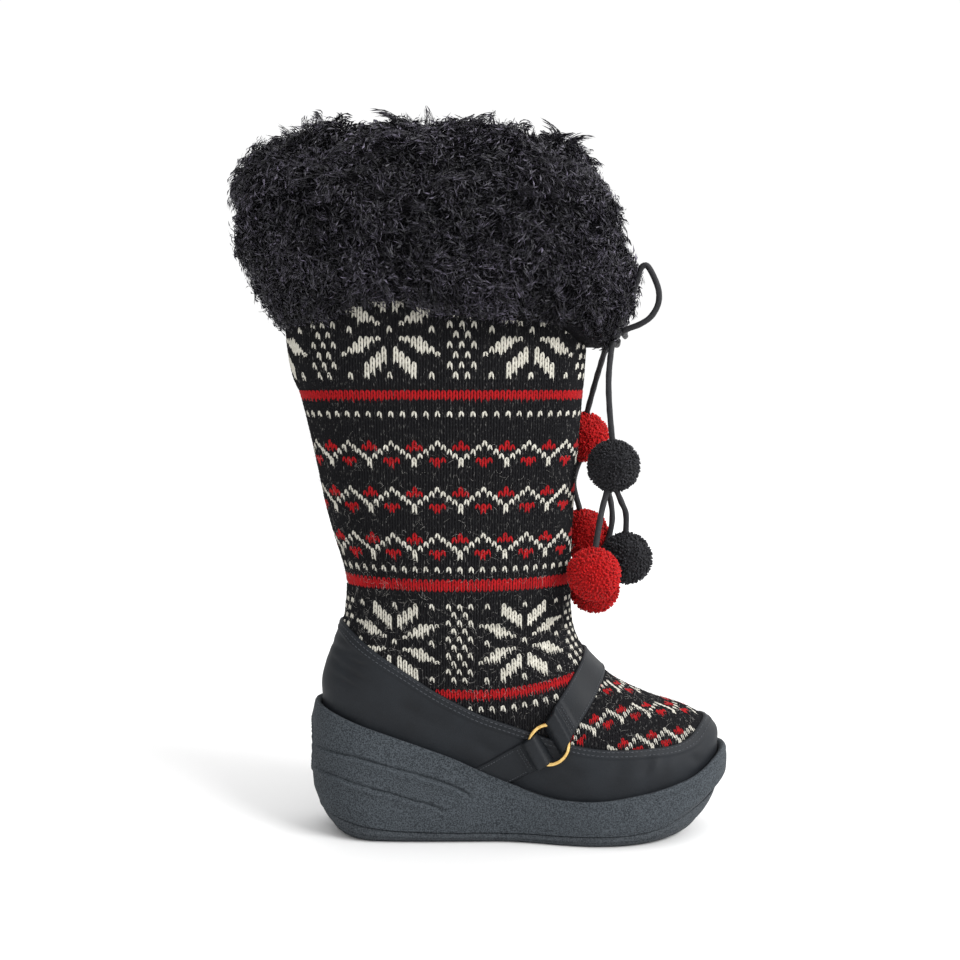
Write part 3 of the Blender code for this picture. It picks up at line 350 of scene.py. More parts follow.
class Finish:
    """A node material: start with colours, then add grain, weave or wear."""

    def __init__(self, name, roughness=0.6, **sockets):
        self.material = bpy.data.materials.new(name)
        self.material.use_nodes = True
        self.tree = self.material.node_tree
        self.shader = self.tree.nodes["Principled BSDF"]
        self.shader.inputs["Roughness"].default_value = roughness
        for socket, value in sockets.items():
            self.shader.inputs[socket.replace("_", " ")].default_value = value
        self.place = self.add("ShaderNodeTexCoord").outputs["Object"]

    def add(self, kind, inputs=None, **settings):
        node = self.tree.nodes.new(kind)
        for key, value in settings.items():
            setattr(node, key, value)
        for key, value in (inputs or {}).items():
            if isinstance(value, bpy.types.NodeSocket):
                self.tree.links.new(value, node.inputs[key])
            else:
                node.inputs[key].default_value = value
        return node

    def noise(self, scale, detail=3.0, roughness=0.55, stretch=None):
        place = self.place
        if stretch:
            place = self.add("ShaderNodeMapping", {"Vector": place, "Scale": stretch}).outputs[0]
        inputs = {"Vector": place, "Scale": scale, "Detail": detail, "Roughness": roughness}
        return self.add("ShaderNodeTexNoise", inputs).outputs["Fac"]

    def cells(self, scale):
        return self.add("ShaderNodeTexVoronoi", {"Vector": self.place, "Scale": scale}).outputs["Distance"]

    def ramp(self, value, *stops):
        """Colours between stops (place, colour); a colour is a grey value or red, green, blue."""
        node = self.add("ShaderNodeValToRGB", {"Fac": value})
        points = node.color_ramp.elements
        while len(points) < len(stops):
            points.new(0.5)
        for point, (place, colour) in zip(points, stops):
            point.position = place
            point.color = (*colour, 1) if isinstance(colour, tuple) else (colour, colour, colour, 1)
        return node.outputs["Color"]

    def mix(self, share, first, second, kind="MIX"):
        node = self.add("ShaderNodeMix", data_type="RGBA", blend_type=kind)
        for socket, value in ((node.inputs[0], share), (node.inputs[6], first), (node.inputs[7], second)):
            if isinstance(value, bpy.types.NodeSocket):
                self.tree.links.new(value, socket)
            else:
                socket.default_value = (*value, 1) if isinstance(value, tuple) else value
        return node.outputs[2]

    def sum(self, first, second, operation="ADD"):
        node = self.add("ShaderNodeMath", operation=operation)
        for socket, value in zip(node.inputs, (first, second)):
            if isinstance(value, bpy.types.NodeSocket):
                self.tree.links.new(value, socket)
            else:
                socket.default_value = value
        return node.outputs[0]

    def colour(self, value):
        self.tree.links.new(value, self.shader.inputs["Base Color"])
        return self

    def rough(self, value):
        self.tree.links.new(value, self.shader.inputs["Roughness"])
        return self

    def bump(self, value, depth, strength=1.0, under=None):
        node = self.add("ShaderNodeBump", {"Height": value, "Distance": depth, "Strength": strength})
        if under:
            self.tree.links.new(under, node.inputs["Normal"])
        self.tree.links.new(node.outputs[0], self.shader.inputs["Normal"])
        return node.outputs[0]

    def streak(self, name):
        """Value stored on the mesh's corners or points under that name."""
        return self.add("ShaderNodeAttribute", attribute_name=name).outputs["Fac"]


def wool(name, dark, light, strand=2600.0):
    """Yarn: lighter fibres over darker hollows, with fine fuzz."""
    made = Finish(name, 0.9, Specular_IOR_Level=0.15, Sheen_Weight=0.06, Sheen_Roughness=0.6)
    fibre = made.noise(strand, 4.0, 0.7)
    patch = made.noise(260.0, 3.0)
    mixed = made.sum(made.sum(fibre, 0.65, "MULTIPLY"), made.sum(patch, 0.35, "MULTIPLY"))
    made.colour(made.ramp(mixed, (0.36, dark), (0.66, light)))
    made.bump(fibre, 0.0003, 0.6)
    return made.material


def heathered(name, dark, light, hair):
    """Dark wool with paler hairs worked in."""
    made = Finish(name, 0.92, Specular_IOR_Level=0.12)
    fibre = made.noise(2400.0, 4.0, 0.75)
    hairs = made.ramp(made.noise(900.0, 2.0, 0.6, (1.0, 1.0, 0.35)), (0.60, 0.0), (0.72, 1.0))
    base = made.ramp(fibre, (0.35, dark), (0.70, light))
    made.colour(made.mix(hairs, base, hair))
    made.bump(fibre, 0.0003, 0.6)
    return made.material


def hide(name, dark, light, roughness=0.58):
    """Matte leather: fine pebbled grain, soft cloudy tone, a little rubbed dust."""
    made = Finish(name, roughness, Specular_IOR_Level=0.22)
    grain = made.cells(1500.0)
    cloud = made.noise(38.0, 4.0)
    fine = made.noise(1900.0, 3.0)
    tone = made.ramp(made.sum(made.sum(cloud, 0.75, "MULTIPLY"), made.sum(fine, 0.25, "MULTIPLY")),
                     (0.35, dark), (0.65, light))
    scuff = made.ramp(made.noise(120.0, 6.0, 0.75, (0.5, 1.0, 1.6)), (0.66, 0.0), (0.80, 0.35))
    made.colour(made.mix(scuff, tone, (0.085, 0.092, 0.105)))
    made.rough(made.ramp(cloud, (0.30, roughness - 0.07), (0.72, roughness + 0.10)))
    under = made.bump(grain, 0.00012, 0.55)
    made.bump(cloud, 0.0012, 0.12, under)
    return made.material


def moulded(name, dark, light, stipple=1500.0, depth=0.00022):
    """Rubber or foam with a stippled skin, paler where it is rubbed."""
    made = Finish(name, 0.82, Specular_IOR_Level=0.2)
    grit = made.noise(stipple, 2.0, 0.6)
    cloud = made.noise(26.0, 3.0)
    speck = made.ramp(grit, (0.38, dark), (0.62, light))
    made.colour(made.mix(made.ramp(cloud, (0.30, 0.0), (0.75, 0.28)), speck, light))
    made.rough(made.ramp(grit, (0.35, 0.92), (0.70, 0.72)))
    made.bump(grit, depth, 0.9)
    return made.material


def make_finishes():
    wool_black = heathered("knit_black", (0.0035, 0.0035, 0.0042), (0.0150, 0.0150, 0.0170),
                           (0.10, 0.098, 0.095))
    inside = heathered("fleece", (0.0080, 0.0080, 0.0095), (0.0300, 0.0300, 0.0330), (0.06, 0.06, 0.06))
    pile = Finish("fur_strands", 0.5, Specular_IOR_Level=0.4)
    depth = pile.streak("depth")
    tint = pile.streak("tint")
    # Painted shade: each strand darkens from its tip to its root, for the shade deep in the pile
    along = pile.ramp(depth, (0.0, (0.0012, 0.0011, 0.0016)), (0.40, (0.0085, 0.0079, 0.0106)),
                      (1.0, (0.0370, 0.0345, 0.0440)))
    # Per-strand tint: random tone, and on the pile also painted shade that darkens strands rooted in the
    # pile's valleys
    tint_and_valley_shade = pile.ramp(tint, (0.0, (0.35, 0.36, 0.42)), (0.5, (0.95, 0.92, 1.02)), (1.0, (2.1, 1.95, 2.25)))
    # Painted highlight: noise patches lighten the strands up to about twofold, for the glint along the
    # crimped fibres
    painted_highlight = pile.ramp(pile.noise(560.0, 3.0, 0.6), (0.46, (0.55, 0.55, 0.55)), (0.64, (2.2, 2.2, 2.2)))
    pile.colour(pile.mix(1.0, pile.mix(1.0, along, tint_and_valley_shade, "MULTIPLY"), painted_highlight, "MULTIPLY"))
    pile.rough(pile.ramp(pile.noise(900.0, 2.0), (0.3, 0.42), (0.7, 0.66)))
    skin = Finish("fur_skin", 0.9, Specular_IOR_Level=0.1)
    skin.colour(skin.ramp(skin.noise(420.0, 4.0, 0.7), (0.35, (0.0018, 0.0016, 0.0022)),
                          (0.70, (0.0085, 0.0080, 0.0105))))
    skin.bump(skin.noise(700.0, 4.0, 0.7), 0.002, 0.8)
    metal = Finish("gold_metal", 0.2, Metallic=1.0)
    metal.colour(metal.ramp(metal.noise(420.0, 4.0), (0.35, (0.62, 0.40, 0.13)), (0.68, (0.86, 0.60, 0.24))))
    metal.rough(metal.ramp(metal.noise(900.0, 3.0), (0.3, 0.12), (0.75, 0.26)))
    metal.bump(metal.noise(900.0, 2.0), 0.00002, 0.25)
    braid = Finish("braid", 0.62, Specular_IOR_Level=0.25, Sheen_Weight=0.05, Sheen_Roughness=0.5)
    braid.colour(braid.ramp(braid.noise(2200.0, 3.0), (0.35, (0.0040, 0.0040, 0.0050)),
                            (0.68, (0.0240, 0.0240, 0.0280))))
    braid.bump(braid.noise(2600.0, 3.0, 0.6, (1.0, 1.0, 0.3)), 0.0002, 0.6)
    return {
        "black": wool_black,
        "white": wool("knit_cream", (0.36, 0.345, 0.29), (0.74, 0.715, 0.64)),
        "red": wool("knit_red", (0.20, 0.0015, 0.004), (0.46, 0.006, 0.009)),
        "inside": inside,
        "strands": pile.material,
        "hair": wool("knit_hair", (0.10, 0.095, 0.09), (0.34, 0.33, 0.31)),
        "skin": skin.material,
        "leather": hide("leather_foxing", (0.0045, 0.0057, 0.0078), (0.0105, 0.0128, 0.0162)),
        "strap": hide("leather_strap", (0.0046, 0.0058, 0.0076), (0.0105, 0.0126, 0.0158)),
        "thread": wool("thread", (0.0180, 0.0205, 0.0250), (0.0800, 0.0870, 0.0980), 3200.0),
        "foam": moulded("wedge_foam", (0.0115, 0.0140, 0.0170), (0.0535, 0.0625, 0.0715), 1250.0),
        "tread": moulded("outsole_rubber_skin", (0.0150, 0.0178, 0.0212), (0.0560, 0.0635, 0.0715), 1100.0,
                         0.0001),
        "metal": metal.material,
        "braid": braid.material,
        "black_ball": wool("pompom_black", (0.0030, 0.0030, 0.0036), (0.0330, 0.0330, 0.0390), 1500.0),
        "red_ball": wool("pompom_red", (0.30, 0.0015, 0.002), (0.56, 0.004, 0.005), 1500.0),
        # Painted shade: the pompoms' cores are darker copies of their yarn, for the shade deep among the
        # yarn ends
        "black_core_shaded": wool("pompom_core_black_shaded", (0.0025, 0.0025, 0.0030), (0.0160, 0.0160, 0.0190), 1500.0),
        "red_core_shaded": wool("pompom_core_red_shaded", (0.20, 0.001, 0.0015), (0.40, 0.003, 0.004), 1500.0),
    }


# Camera, cords and pompoms

BRAID_FULLNESS = 1.10      # the braid's thickness over the cord's
BRAID_RIB = 0.07           # height of its ribs, as a share of the cord's radius
BRAID_STRANDS = 4
BRAID_LAY = 0.011          # length of one turn of a strand
CORD_SIDES = 12
KNOT_REACH = 0.0027        # radius of the knot's turns
CORE_TUFTS = 170           # tufts in the core's surface
YARN_ENDS = 1100           # cut ends of yarn on a pompom
YARN_THICK = 0.00080
SENSOR_WIDTH = 36


def make_camera():
    data = bpy.data.cameras.new("camera")
    data.sensor_width = SENSOR_WIDTH
    data.lens = CAMERA_LENS
    data.shift_y = CAMERA_SHIFT
    data.clip_start = 0.01
    made = bpy.data.objects.new("camera", data)
    made.location = CAMERA_AT
    made.rotation_euler = (math.pi / 2, 0, 0)
    bpy.context.scene.collection.objects.link(made)
    bpy.context.scene.camera = made


def route_frames(route):
    """Two cross directions at each point of a route, turning as little as possible."""
    along = np.gradient(route, axis=0)
    along /= np.linalg.norm(along, axis=1, keepdims=True)
    side = np.cross(along[0], (0.0, 1.0, 0.2))
    sides = []
    for direction in along:
        side = side - direction * side.dot(direction)
        side /= np.linalg.norm(side)
        sides.append(side)
    sides = np.array(sides)
    return sides, np.cross(along, sides)


def cord_mesh(name, route, finish):
    """A round cord with a braid's ribs winding both ways, closed by rounded ends."""
    side, up = route_frames(route)
    step = lengths_along(route)
    around = CORD_SIDES
    turn = np.linspace(0, 2 * math.pi, around, endpoint=False)
    wind = 2 * math.pi * step[:, None] / BRAID_LAY
    ribs = np.maximum(np.cos(BRAID_STRANDS * turn + wind), np.cos(BRAID_STRANDS * turn - wind))
    radius = CORD / 2 * (BRAID_FULLNESS + BRAID_RIB * (ribs - 0.6))
    radius *= end_round(np.minimum(step, step[-1] - step)[:, None] + CORD * 0.03, CORD / 2)
    loops = (route[:, None] + radius[..., None] * (np.cos(turn)[None, :, None] * side[:, None]
                                                   + np.sin(turn)[None, :, None] * up[:, None]))
    rings = len(loops)
    points = np.concatenate([loops.reshape(-1, 3), route[:1], route[-1:]])
    quads = grid_faces(rings, around)
    sides = np.concatenate([quads[:, [0, 1, 2]], quads[:, [0, 2, 3]]])
    ends = np.arange(around)
    after = (ends + 1) % around
    low_cap = np.stack([after, ends, np.full(around, rings * around)], axis=1)
    base = (rings - 1) * around
    high_cap = np.stack([ends + base, after + base, np.full(around, rings * around + 1)], axis=1)
    return make_object(name, points, np.concatenate([sides, low_cap, high_cap]), finish)


def ball_points(count):
    """Even directions over a ball."""
    index = np.arange(count) + 0.5
    height = 1 - 2 * index / count
    turn = math.pi * (1 + 5 ** 0.5) * index
    flat = np.sqrt(1 - height ** 2)
    return xyz(flat * np.cos(turn), flat * np.sin(turn), height)


def make_pompom(name, centre, finishes):
    """A bumpy core of cut yarn with hundreds of short curled ends round it."""
    red = "red" in name
    work = bmesh.new()
    bmesh.ops.create_icosphere(work, subdivisions=4, radius=1.0)
    core = np.array([vert.co[:] for vert in work.verts])
    corners = np.array([[vert.index for vert in face.verts] for face in work.faces])
    work.free()
    seeds = ball_points(CORE_TUFTS)
    seeds = unit(seeds + dice.normal(0, 0.05, seeds.shape))
    nearest = np.sort(core @ seeds.T, axis=1)[:, -2:]
    lumps = np.clip((nearest[:, 1] - nearest[:, 0]) * 14, 0, 1)
    core = core * (POMPOM / 2 * (0.93 + 0.05 * lumps))[:, None] + centre
    # The core gets the darker copy of the yarn's finish: painted shade among the yarn ends
    ball = make_object(name + "_core", core, corners, finishes["red_core_shaded" if red else "black_core_shaded"])
    ends = YARN_ENDS
    way = unit(ball_points(ends) + dice.normal(0, 0.03, (ends, 3)))
    side = unit(np.cross(way, dice.normal(0, 1, (ends, 3))))
    other = np.cross(way, side)
    reach = POMPOM / 2 * (1.035 + dice.uniform(-0.030, 0.035, ends))[:, None]
    lean = side * dice.uniform(-1, 1, (ends, 1)) + other * dice.uniform(-1, 1, (ends, 1))
    root = way * POMPOM / 2 * 0.86
    shoulder = way * (reach * 0.93) + lean * 0.0007
    tip = way * reach + lean * 0.0014
    thick = YARN_THICK
    sections = [(root, thick * 0.5), (shoulder, thick), ((shoulder + tip) / 2 + way * 0.0003, thick * 0.8)]
    rings = []
    for middle, radius in sections:
        for corner in range(3):
            angle = 2 * math.pi * corner / 3
            rings.append(middle + radius * (math.cos(angle) * side + math.sin(angle) * other))
    points = np.stack(rings + [tip], axis=1)
    faces = []
    for band in range(2):
        for corner in range(3):
            low, next_low = band * 3 + corner, band * 3 + (corner + 1) % 3
            faces += [(low, next_low, next_low + 3), (low, next_low + 3, low + 3)]
    faces += [(6 + corner, 6 + (corner + 1) % 3, 9) for corner in range(3)]
    faces.append((2, 1, 0))
    faces = np.array(faces)[None] + (np.arange(ends) * points.shape[1])[:, None, None]
    fluff = make_object(name + "_yarn", points.reshape(-1, 3) + centre, faces.reshape(-1, 3),
                        finishes["red_ball" if red else "black_ball"])
    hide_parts(name)
    return [ball, fluff]


def make_knot(finishes):
    """The cord's knot, as two crossing turns of cord pulled tight."""
    turns = []
    for tilt, swing in ((0.35, 0.0), (-0.5, 2.0)):
        angle = np.linspace(0, 2 * math.pi, 33)[:-1] + swing
        ring = xyz(KNOT_REACH * np.cos(angle), 0.9 * KNOT_REACH * np.sin(angle) * math.sin(tilt),
                   KNOT_REACH * np.sin(angle) * math.cos(tilt))
        turns.append(ring + np.array(KNOT_AT))
    pieces = []
    for index, ring in enumerate(turns):
        closed = np.concatenate([ring, ring[:1]])
        pieces.append(cord_mesh(f"knot_turn_{index}", closed, finishes["braid"]))
    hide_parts("cord_knot")
    return pieces


def make_cords(finishes):
    balls = {name: make_pompom(name, np.array(centre), finishes) for name, centre in POMPOMS.items()}
    knot = make_knot(finishes)
    for name, (points, carried) in CORDS.items():
        route = smooth_route(points, CORD * 0.28)
        piece = cord_mesh(name + "_braid", route, finishes["braid"])
        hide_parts(name)
        length = float(np.linalg.norm(np.diff(route, axis=0), axis=1).sum())
        path = [tuple(float(v) for v in point) for point in smooth_route(points, CORD)]
        with_pieces = tuple(balls[carried]) if carried else ()
        if name == "cord_tail_outer":
            with_pieces += tuple(knot)


# The upper's surface, dense enough to place stitches on

TURNS = 720                # columns of the dense surface
RISES = 421                # rows of the dense surface, 20 to each ring step
VAMP_STITCH = 0.00244      # width of a stitch on the vamp
VAMP_ROW = 0.00263
NARROW_STITCH = 0.00333    # width of a stitch at the lower stars
WIDE_STITCH = 0.00362      # width of a stitch at the upper stars
UPPER_STARS = 0.309        # heights of the middles of the star rows, and the heights of their stitches
UPPER_STAR_ROW = 0.00305
LOWER_STARS = 0.1210
LOWER_STAR_ROW = 0.00245
BANDS_TOP = 0.2712         # first row below the upper stars
BAND_ROW = 0.00252
FOOT_ROW = 0.00255
UPPER_STAR_SPAN = 0.189    # between the two star rows, over which stitches widen
STITCH_TOP = 0.338         # the fur hides what is above
WALL_SINK = 0.00045        # the knitted wall's face under the stitches' own surface
FOOT_RISES = 60            # rows of the dense surface that the leather hides
SHAFT_MOTIF = -0.036       # x where a star stands, at the upper stars
SHAFT_DRIFT = 0.0016       # and how far back it has moved at the lower ones
VAMP_MOTIF = 0.061
# Upper zigzag of the vamp: x, and height less the distance from the ridge
VAMP_LINE = [(0.015, 0.0030), (0.033, 0.0245), (0.041, 0.0330), (0.052, 0.0412), (0.062, 0.0478),
             (0.072, 0.0533), (0.082, 0.0585), (0.092, 0.0635), (0.105, 0.0695), (0.130, 0.0800)]
HEM = 0.0016               # how far the stitches reach under the leather's edge


class Surface:
    """Outer face of the upper as a dense grid: by turn round the foot and rise up the rings."""

    def __init__(self):
        self.turn = np.linspace(0, 2 * math.pi, TURNS, endpoint=False)
        rings = upper_rings(self.turn)
        self.rise = np.linspace(0, len(rings) - 1, RISES)
        self.points = between_rings(rings, self.rise)
        self.normals = grid_normals(self.points)

    def read(self, grid, rise, column):
        """Value of a grid at rises (in rows) and columns that needn't be whole."""
        rise = np.clip(rise, 0, RISES - 1.001)
        low = np.floor(rise).astype(int)
        start = np.floor(column).astype(int)
        up, across = (rise - low)[..., None], (column - start)[..., None]
        first, second = start % TURNS, (start + 1) % TURNS
        lower = grid[low, first] * (1 - across) + grid[low, second] * across
        upper = grid[low + 1, first] * (1 - across) + grid[low + 1, second] * across
        return lower * (1 - up) + upper * up

    def at(self, rise, column):
        return self.read(self.points, rise, column)

    def out(self, rise, column):
        return unit(self.read(self.normals, rise, column))

    def contours(self, field, levels):
        """Rise of each level of a height field in every column: rises[level, column]."""
        rows = np.arange(RISES)
        climbing = np.maximum.accumulate(field, axis=0) + rows[:, None] * 1e-9
        return np.array([np.interp(levels, climbing[:, column], rows) for column in range(TURNS)]).T

    def grid(self, rise, column, lift):
        """Points at the given rises and columns, lifted off the surface."""
        return self.at(rise, column) + self.out(rise, column) * np.asarray(lift)[..., None]


def strap_side(x, z):
    """Distance in front of the strap's middle line, seen from the side."""
    ring_x, ring_z = RING_AT[0] * SOLE_LENGTH, RING_AT[1] * SOLE_HEIGHT
    angle = math.atan2(STRAP_TO[1] * SOLE_HEIGHT - ring_z, STRAP_TO[0] * SOLE_LENGTH - ring_x)
    return (x - ring_x) * math.sin(angle) - (z - ring_z) * math.cos(angle)


# Knitting charts, counted from a motif's own middle. Rows go down, columns go forward.

ZIGZAG_WHITE = {(abs(c), c) for c in range(-3, 5)} | {(5, 4)}
ZIGZAG_RED = {(0, 4), (1, 3), (1, 4), (1, 5), (4, -1), (4, 0), (4, 1), (5, 0)}
LEAF = {(2, 3), (2, 4), (3, 4), (2, 5), (3, 5), (4, 5), (3, 6), (4, 6), (4, 7)}
PETAL = {(column + step, column) for column in range(1, 5) for step in range(3, 6)}
STAR = LEAF | PETAL | {(0, 0), (0, 7), (9, 0), (9, 7)}
STAR_TIPS = {(-1, 2), (-4, 8), (2, 2), (5, 8)}       # half stitches at the ends of the leaves
STAR_REPEAT = 24


def star_colour(row, column):
    """Eight-pointed star, and the checkered strip halfway to the next one."""
    across = (column + STAR_REPEAT // 2) % STAR_REPEAT - STAR_REPEAT // 2
    if (abs(row), abs(across)) in STAR:
        return "white"
    if (row, abs(across)) in STAR_TIPS:
        return "tip"
    strip = STAR_REPEAT // 2 - abs(across)
    if strip <= 2 and abs(row) <= 9 and row % 2:
        three = (row + 9) % 4 == 0
        return "white" if (strip % 2 == 0) == three else "black"
    return "black"


def zigzag_colour(row, column):
    across = (column + 3) % 8 - 3
    if (row, across) in ZIGZAG_WHITE:
        return "white"
    if (row, across) in ZIGZAG_RED or (row, across - 8) in ZIGZAG_RED or (row, across + 8) in ZIGZAG_RED:
        return "red"
    return "black"


def dots_colour(row, column):
    return "white" if column % 2 == 0 else "black"


def black(row, column):
    return "black"


def red(row, column):
    return "red"


def band_rows(height, row_height, bands):
    """Rows of bands from a height down; a band is a number of rows and its chart."""
    rows = []
    for count, chart in bands:
        for row in range(count):
            rows.append((height, row_height, chart, row))
            height -= row_height
    return rows


def shaft_rows():
    """Rows from the top down: height of the row, height of a stitch, chart and the row in it."""
    rows = [(UPPER_STARS - UPPER_STAR_ROW * k, UPPER_STAR_ROW, star_colour, k) for k in range(-12, 11)]
    rows.append((0.2755, 0.0030, black, 0))
    bands = [(2, red), (3, black), (1, dots_colour), (6, black), (6, zigzag_colour), (5, black),
             (6, zigzag_colour), (5, black), (6, zigzag_colour), (2, black), (1, dots_colour), (2, black),
             (2, red)]
    rows += band_rows(BANDS_TOP, BAND_ROW, bands)
    for row in range(3):
        rows.append((LOWER_STARS + LOWER_STAR_ROW * (12 - row), LOWER_STAR_ROW, black, 0))
    rows += [(LOWER_STARS - LOWER_STAR_ROW * k, LOWER_STAR_ROW, star_colour, k) for k in range(-9, 10)]
    foot = [(2, black), (2, red), (2, black), (1, dots_colour), (8, black)]
    return rows + band_rows(LOWER_STARS - LOWER_STAR_ROW * 10, FOOT_ROW, foot)


def vamp_rows():
    """Rows of the vamp from the instep down to the leather: zigzags all the way."""
    rows = []
    for row in range(-20, 19):
        chart, place = (zigzag_colour, row % 11) if row % 11 < 6 else (black, 0)
        rows.append(((2.5 - row) * VAMP_ROW, VAMP_ROW, chart, place))
    return rows


def shaft_field(points):
    """The rows run level, but dip towards the heel below the lower stars."""
    x, z = points[..., 0], points[..., 2]
    ahead = np.clip((x + 0.030) / 0.060, 0.0, 1.4)
    return z - 0.009 * ahead ** 2 * np.clip((0.150 - z) / 0.060, 0.0, 1.6)


def vamp_field(points):
    """The rows of the vamp follow its upper zigzag, and their height is taken round the foot."""
    x, y, z = points[..., 0], points[..., 1], points[..., 2]
    return z - np.hypot(y, 0.005) - read_table(VAMP_LINE, x)


def lay_row(surface, rises, reference, pitch, first_column, half=None):
    """Column places (fractional) and numbers of one row's stitches, by arc length."""
    columns = np.arange(TURNS + 1)
    line = surface.at(np.append(rises, rises[0]), columns.astype(float))
    length = lengths_along(line)
    middle = TURNS // 2
    low, high = (0, middle) if half != "inner" else (middle, TURNS)
    part = line[low:high + 1, 0]
    order = part if half != "inner" else part[::-1]
    spot = np.interp(reference, order, np.arange(low, high + 1) if half != "inner"
                     else np.arange(high, low - 1, -1))
    start = np.interp(spot, columns, length)
    begin, end = (0.0, length[-1]) if half is None else (length[low], length[high])
    way = -1 if half == "inner" else 1
    counts = np.arange(int((begin - start) / pitch) - 1, int((end - start) / pitch) + 2)
    places = start + counts * pitch
    inside = (places > begin + pitch * 0.5) & (places < end - pitch * 0.5)
    return np.interp(places[inside], length, columns), way * counts[inside] + first_column


def foxing_top(x):
    return soft_line(FOXING_LINE, x, 0.010)


def lay_stitches(surface):
    """Centre, up, across, size and colour of every stitch that shows."""
    found = {"black": [], "white": [], "red": []}
    panels = [("shaft", shaft_field, shaft_rows(), SHAFT_MOTIF, (None,)),
              ("vamp", vamp_field, vamp_rows(), VAMP_MOTIF, ("outer", "inner"))]
    all_columns = np.arange(TURNS + 1)
    for panel, field, rows, reference, halves in panels:
        levels = np.array([row[0] for row in rows])
        rises = surface.contours(field(surface.points), levels)
        above = surface.contours(field(surface.points), levels + 0.001)
        for index, (level, height, chart, chart_row) in enumerate(rows):
            pitch = VAMP_STITCH
            if panel == "shaft":
                widening = np.clip((level - 0.120) / UPPER_STAR_SPAN, -0.1, 1.2)
                pitch = NARROW_STITCH + (WIDE_STITCH - NARROW_STITCH) * widening
            for half in halves:
                first = 12 if panel == "shaft" else 4
                drift = SHAFT_DRIFT * np.clip((0.30 - level) / 0.18, 0, 1)
                start = reference - drift * (panel == "shaft")
                columns, numbers = lay_row(surface, rises[index], start, pitch, first, half)
                rise, over = (np.interp(columns, all_columns, np.append(table[index], table[index][0]))
                              for table in (rises, above))
                centre = surface.at(rise, columns)
                out = surface.out(rise, columns)
                moved = surface.at(over, columns) - centre
                up = np.array([0, 0, 1.0]) * 0.75 + unit(moved) * 0.25
                up = unit(up - out * (up * out).sum(axis=1, keepdims=True))
                step = surface.at(rise, columns + 1.0) - surface.at(rise, columns - 1.0)
                across = unit(np.cross(up, out))
                across *= np.sign((across * step).sum(axis=1, keepdims=True))
                side = strap_side(centre[:, 0], centre[:, 2])
                front = side > 0 if panel == "vamp" else side < 0
                shown = front & (np.abs(side) > STRAP_WIDTH / 2 - 2 * HEM)
                shown &= centre[:, 2] > foxing_top(centre[:, 0]) - HEM
                shown &= (centre[:, 2] < STITCH_TOP) & (rise < RISES - 3) & (rise > 3)
                gain = (field(centre + up * 0.0005) - field(centre - up * 0.0005)) / 0.001
                tall = height / np.clip(gain, 0.45, 1.6)
                for spot in np.nonzero(shown)[0]:
                    colour = chart(chart_row, int(numbers[spot]))
                    place, high = centre[spot], tall[spot]
                    if colour == "tip":
                        colour, place, high = "white", place + up[spot] * high * 0.5, high * 0.5
                    found[colour].append((*place, *up[spot], *across[spot], *out[spot], pitch, high))
    return {colour: np.array(rows) for colour, rows in found.items()}


# One leg of a stitch: along it (share of the row), out to the side (share of the width), how
# high it stands (share of its thickness) and half its width (share of its thickness)
LEG = [(0.98, 0.05, 0.30, 0.80), (0.68, 0.195, 0.66, 1.0), (0.10, 0.275, 0.58, 1.0),
       (-0.52, 0.250, 0.20, 0.95), (-1.06, 0.42, -0.60, 0.60)]
LEG_THICKNESS = 0.185      # half a yarn, as a share of the stitch's width


def stitch_mesh(name, stitches, finish):
    """Two legs a stitch, each a lump of yarn that widens in its middle."""
    centre, up, across, out = (stitches[:, 3 * k:3 * k + 3] for k in range(4))
    pitch, height = stitches[:, 12:13], stitches[:, 13:14]
    count = len(stitches)
    shift = dice.normal(0, 0.018, (count, 2)) * pitch
    fat = dice.uniform(0.92, 1.10, (count, 1))
    points, faces = [], []
    for leg in (-1, 1):
        loops = []
        for along, aside, lift, wide in LEG:
            middle = (centre + up * (along * height * 1.08 + shift[:, :1])
                      + across * (leg * aside * pitch + shift[:, 1:]))
            thick = LEG_THICKNESS * pitch * fat
            crest = middle + out * thick * (lift + 0.55 * wide)
            low = middle + out * thick * (lift - 0.75 * wide)
            loops.append([low - across * thick * wide, crest, low + across * thick * wide])
        tip, first, second, third, foot = loops
        points += [tip[1], *first, *second, *third, foot[1]]
    block = np.stack(points, axis=1)
    for start in (0, 11):
        for band in (1, 4):
            for corner in (0, 1):
                a, b = start + band + corner, start + band + corner + 1
                faces += [(a, b, b + 3), (a, b + 3, a + 3)]
        faces += [(start, start + 2, start + 1), (start, start + 3, start + 2)]
        faces += [(start + 10, start + 7, start + 8), (start + 10, start + 8, start + 9)]
    faces = np.array(faces)[None] + (np.arange(count) * 22)[:, None, None]
    return make_object(name, block.reshape(-1, 3), faces.reshape(-1, 3), finish)


def make_knit(surface, finishes):
    rows = np.concatenate([np.linspace(0, FOOT_RISES, 8, endpoint=False),
                           np.linspace(FOOT_RISES, RISES - 1, 56)])
    columns = np.arange(0, TURNS, 5.0)
    rise, column = np.meshgrid(rows, columns, indexing="ij")
    outside = surface.grid(rise, column, np.full(rise.shape, -WALL_SINK))
    inside = surface.grid(rise, column, np.full(rise.shape, -UPPER_WALL))
    base = wall("knit_wall", outside, inside, finishes["black"])
    base.data.materials.append(finishes["inside"])
    quads = (len(rows) - 1) * len(columns)
    slots = np.zeros(len(base.data.polygons), dtype=np.int32)
    slots[quads:2 * quads] = 1
    base.data.polygons.foreach_set("material_index", slots)
    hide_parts("upper")
    stitches = lay_stitches(surface)
    black = stitches["black"]
    split = np.median(black[:, 2])
    groups = [("knit_black_high", black[black[:, 2] > split], "black"),
              ("knit_black_low", black[black[:, 2] <= split], "black"),
              ("knit_cream", stitches["white"], "white"), ("knit_red", stitches["red"], "red")]
    for name, group, finish in groups:
        piece = stitch_mesh(name, group, finishes[finish])


# Sole

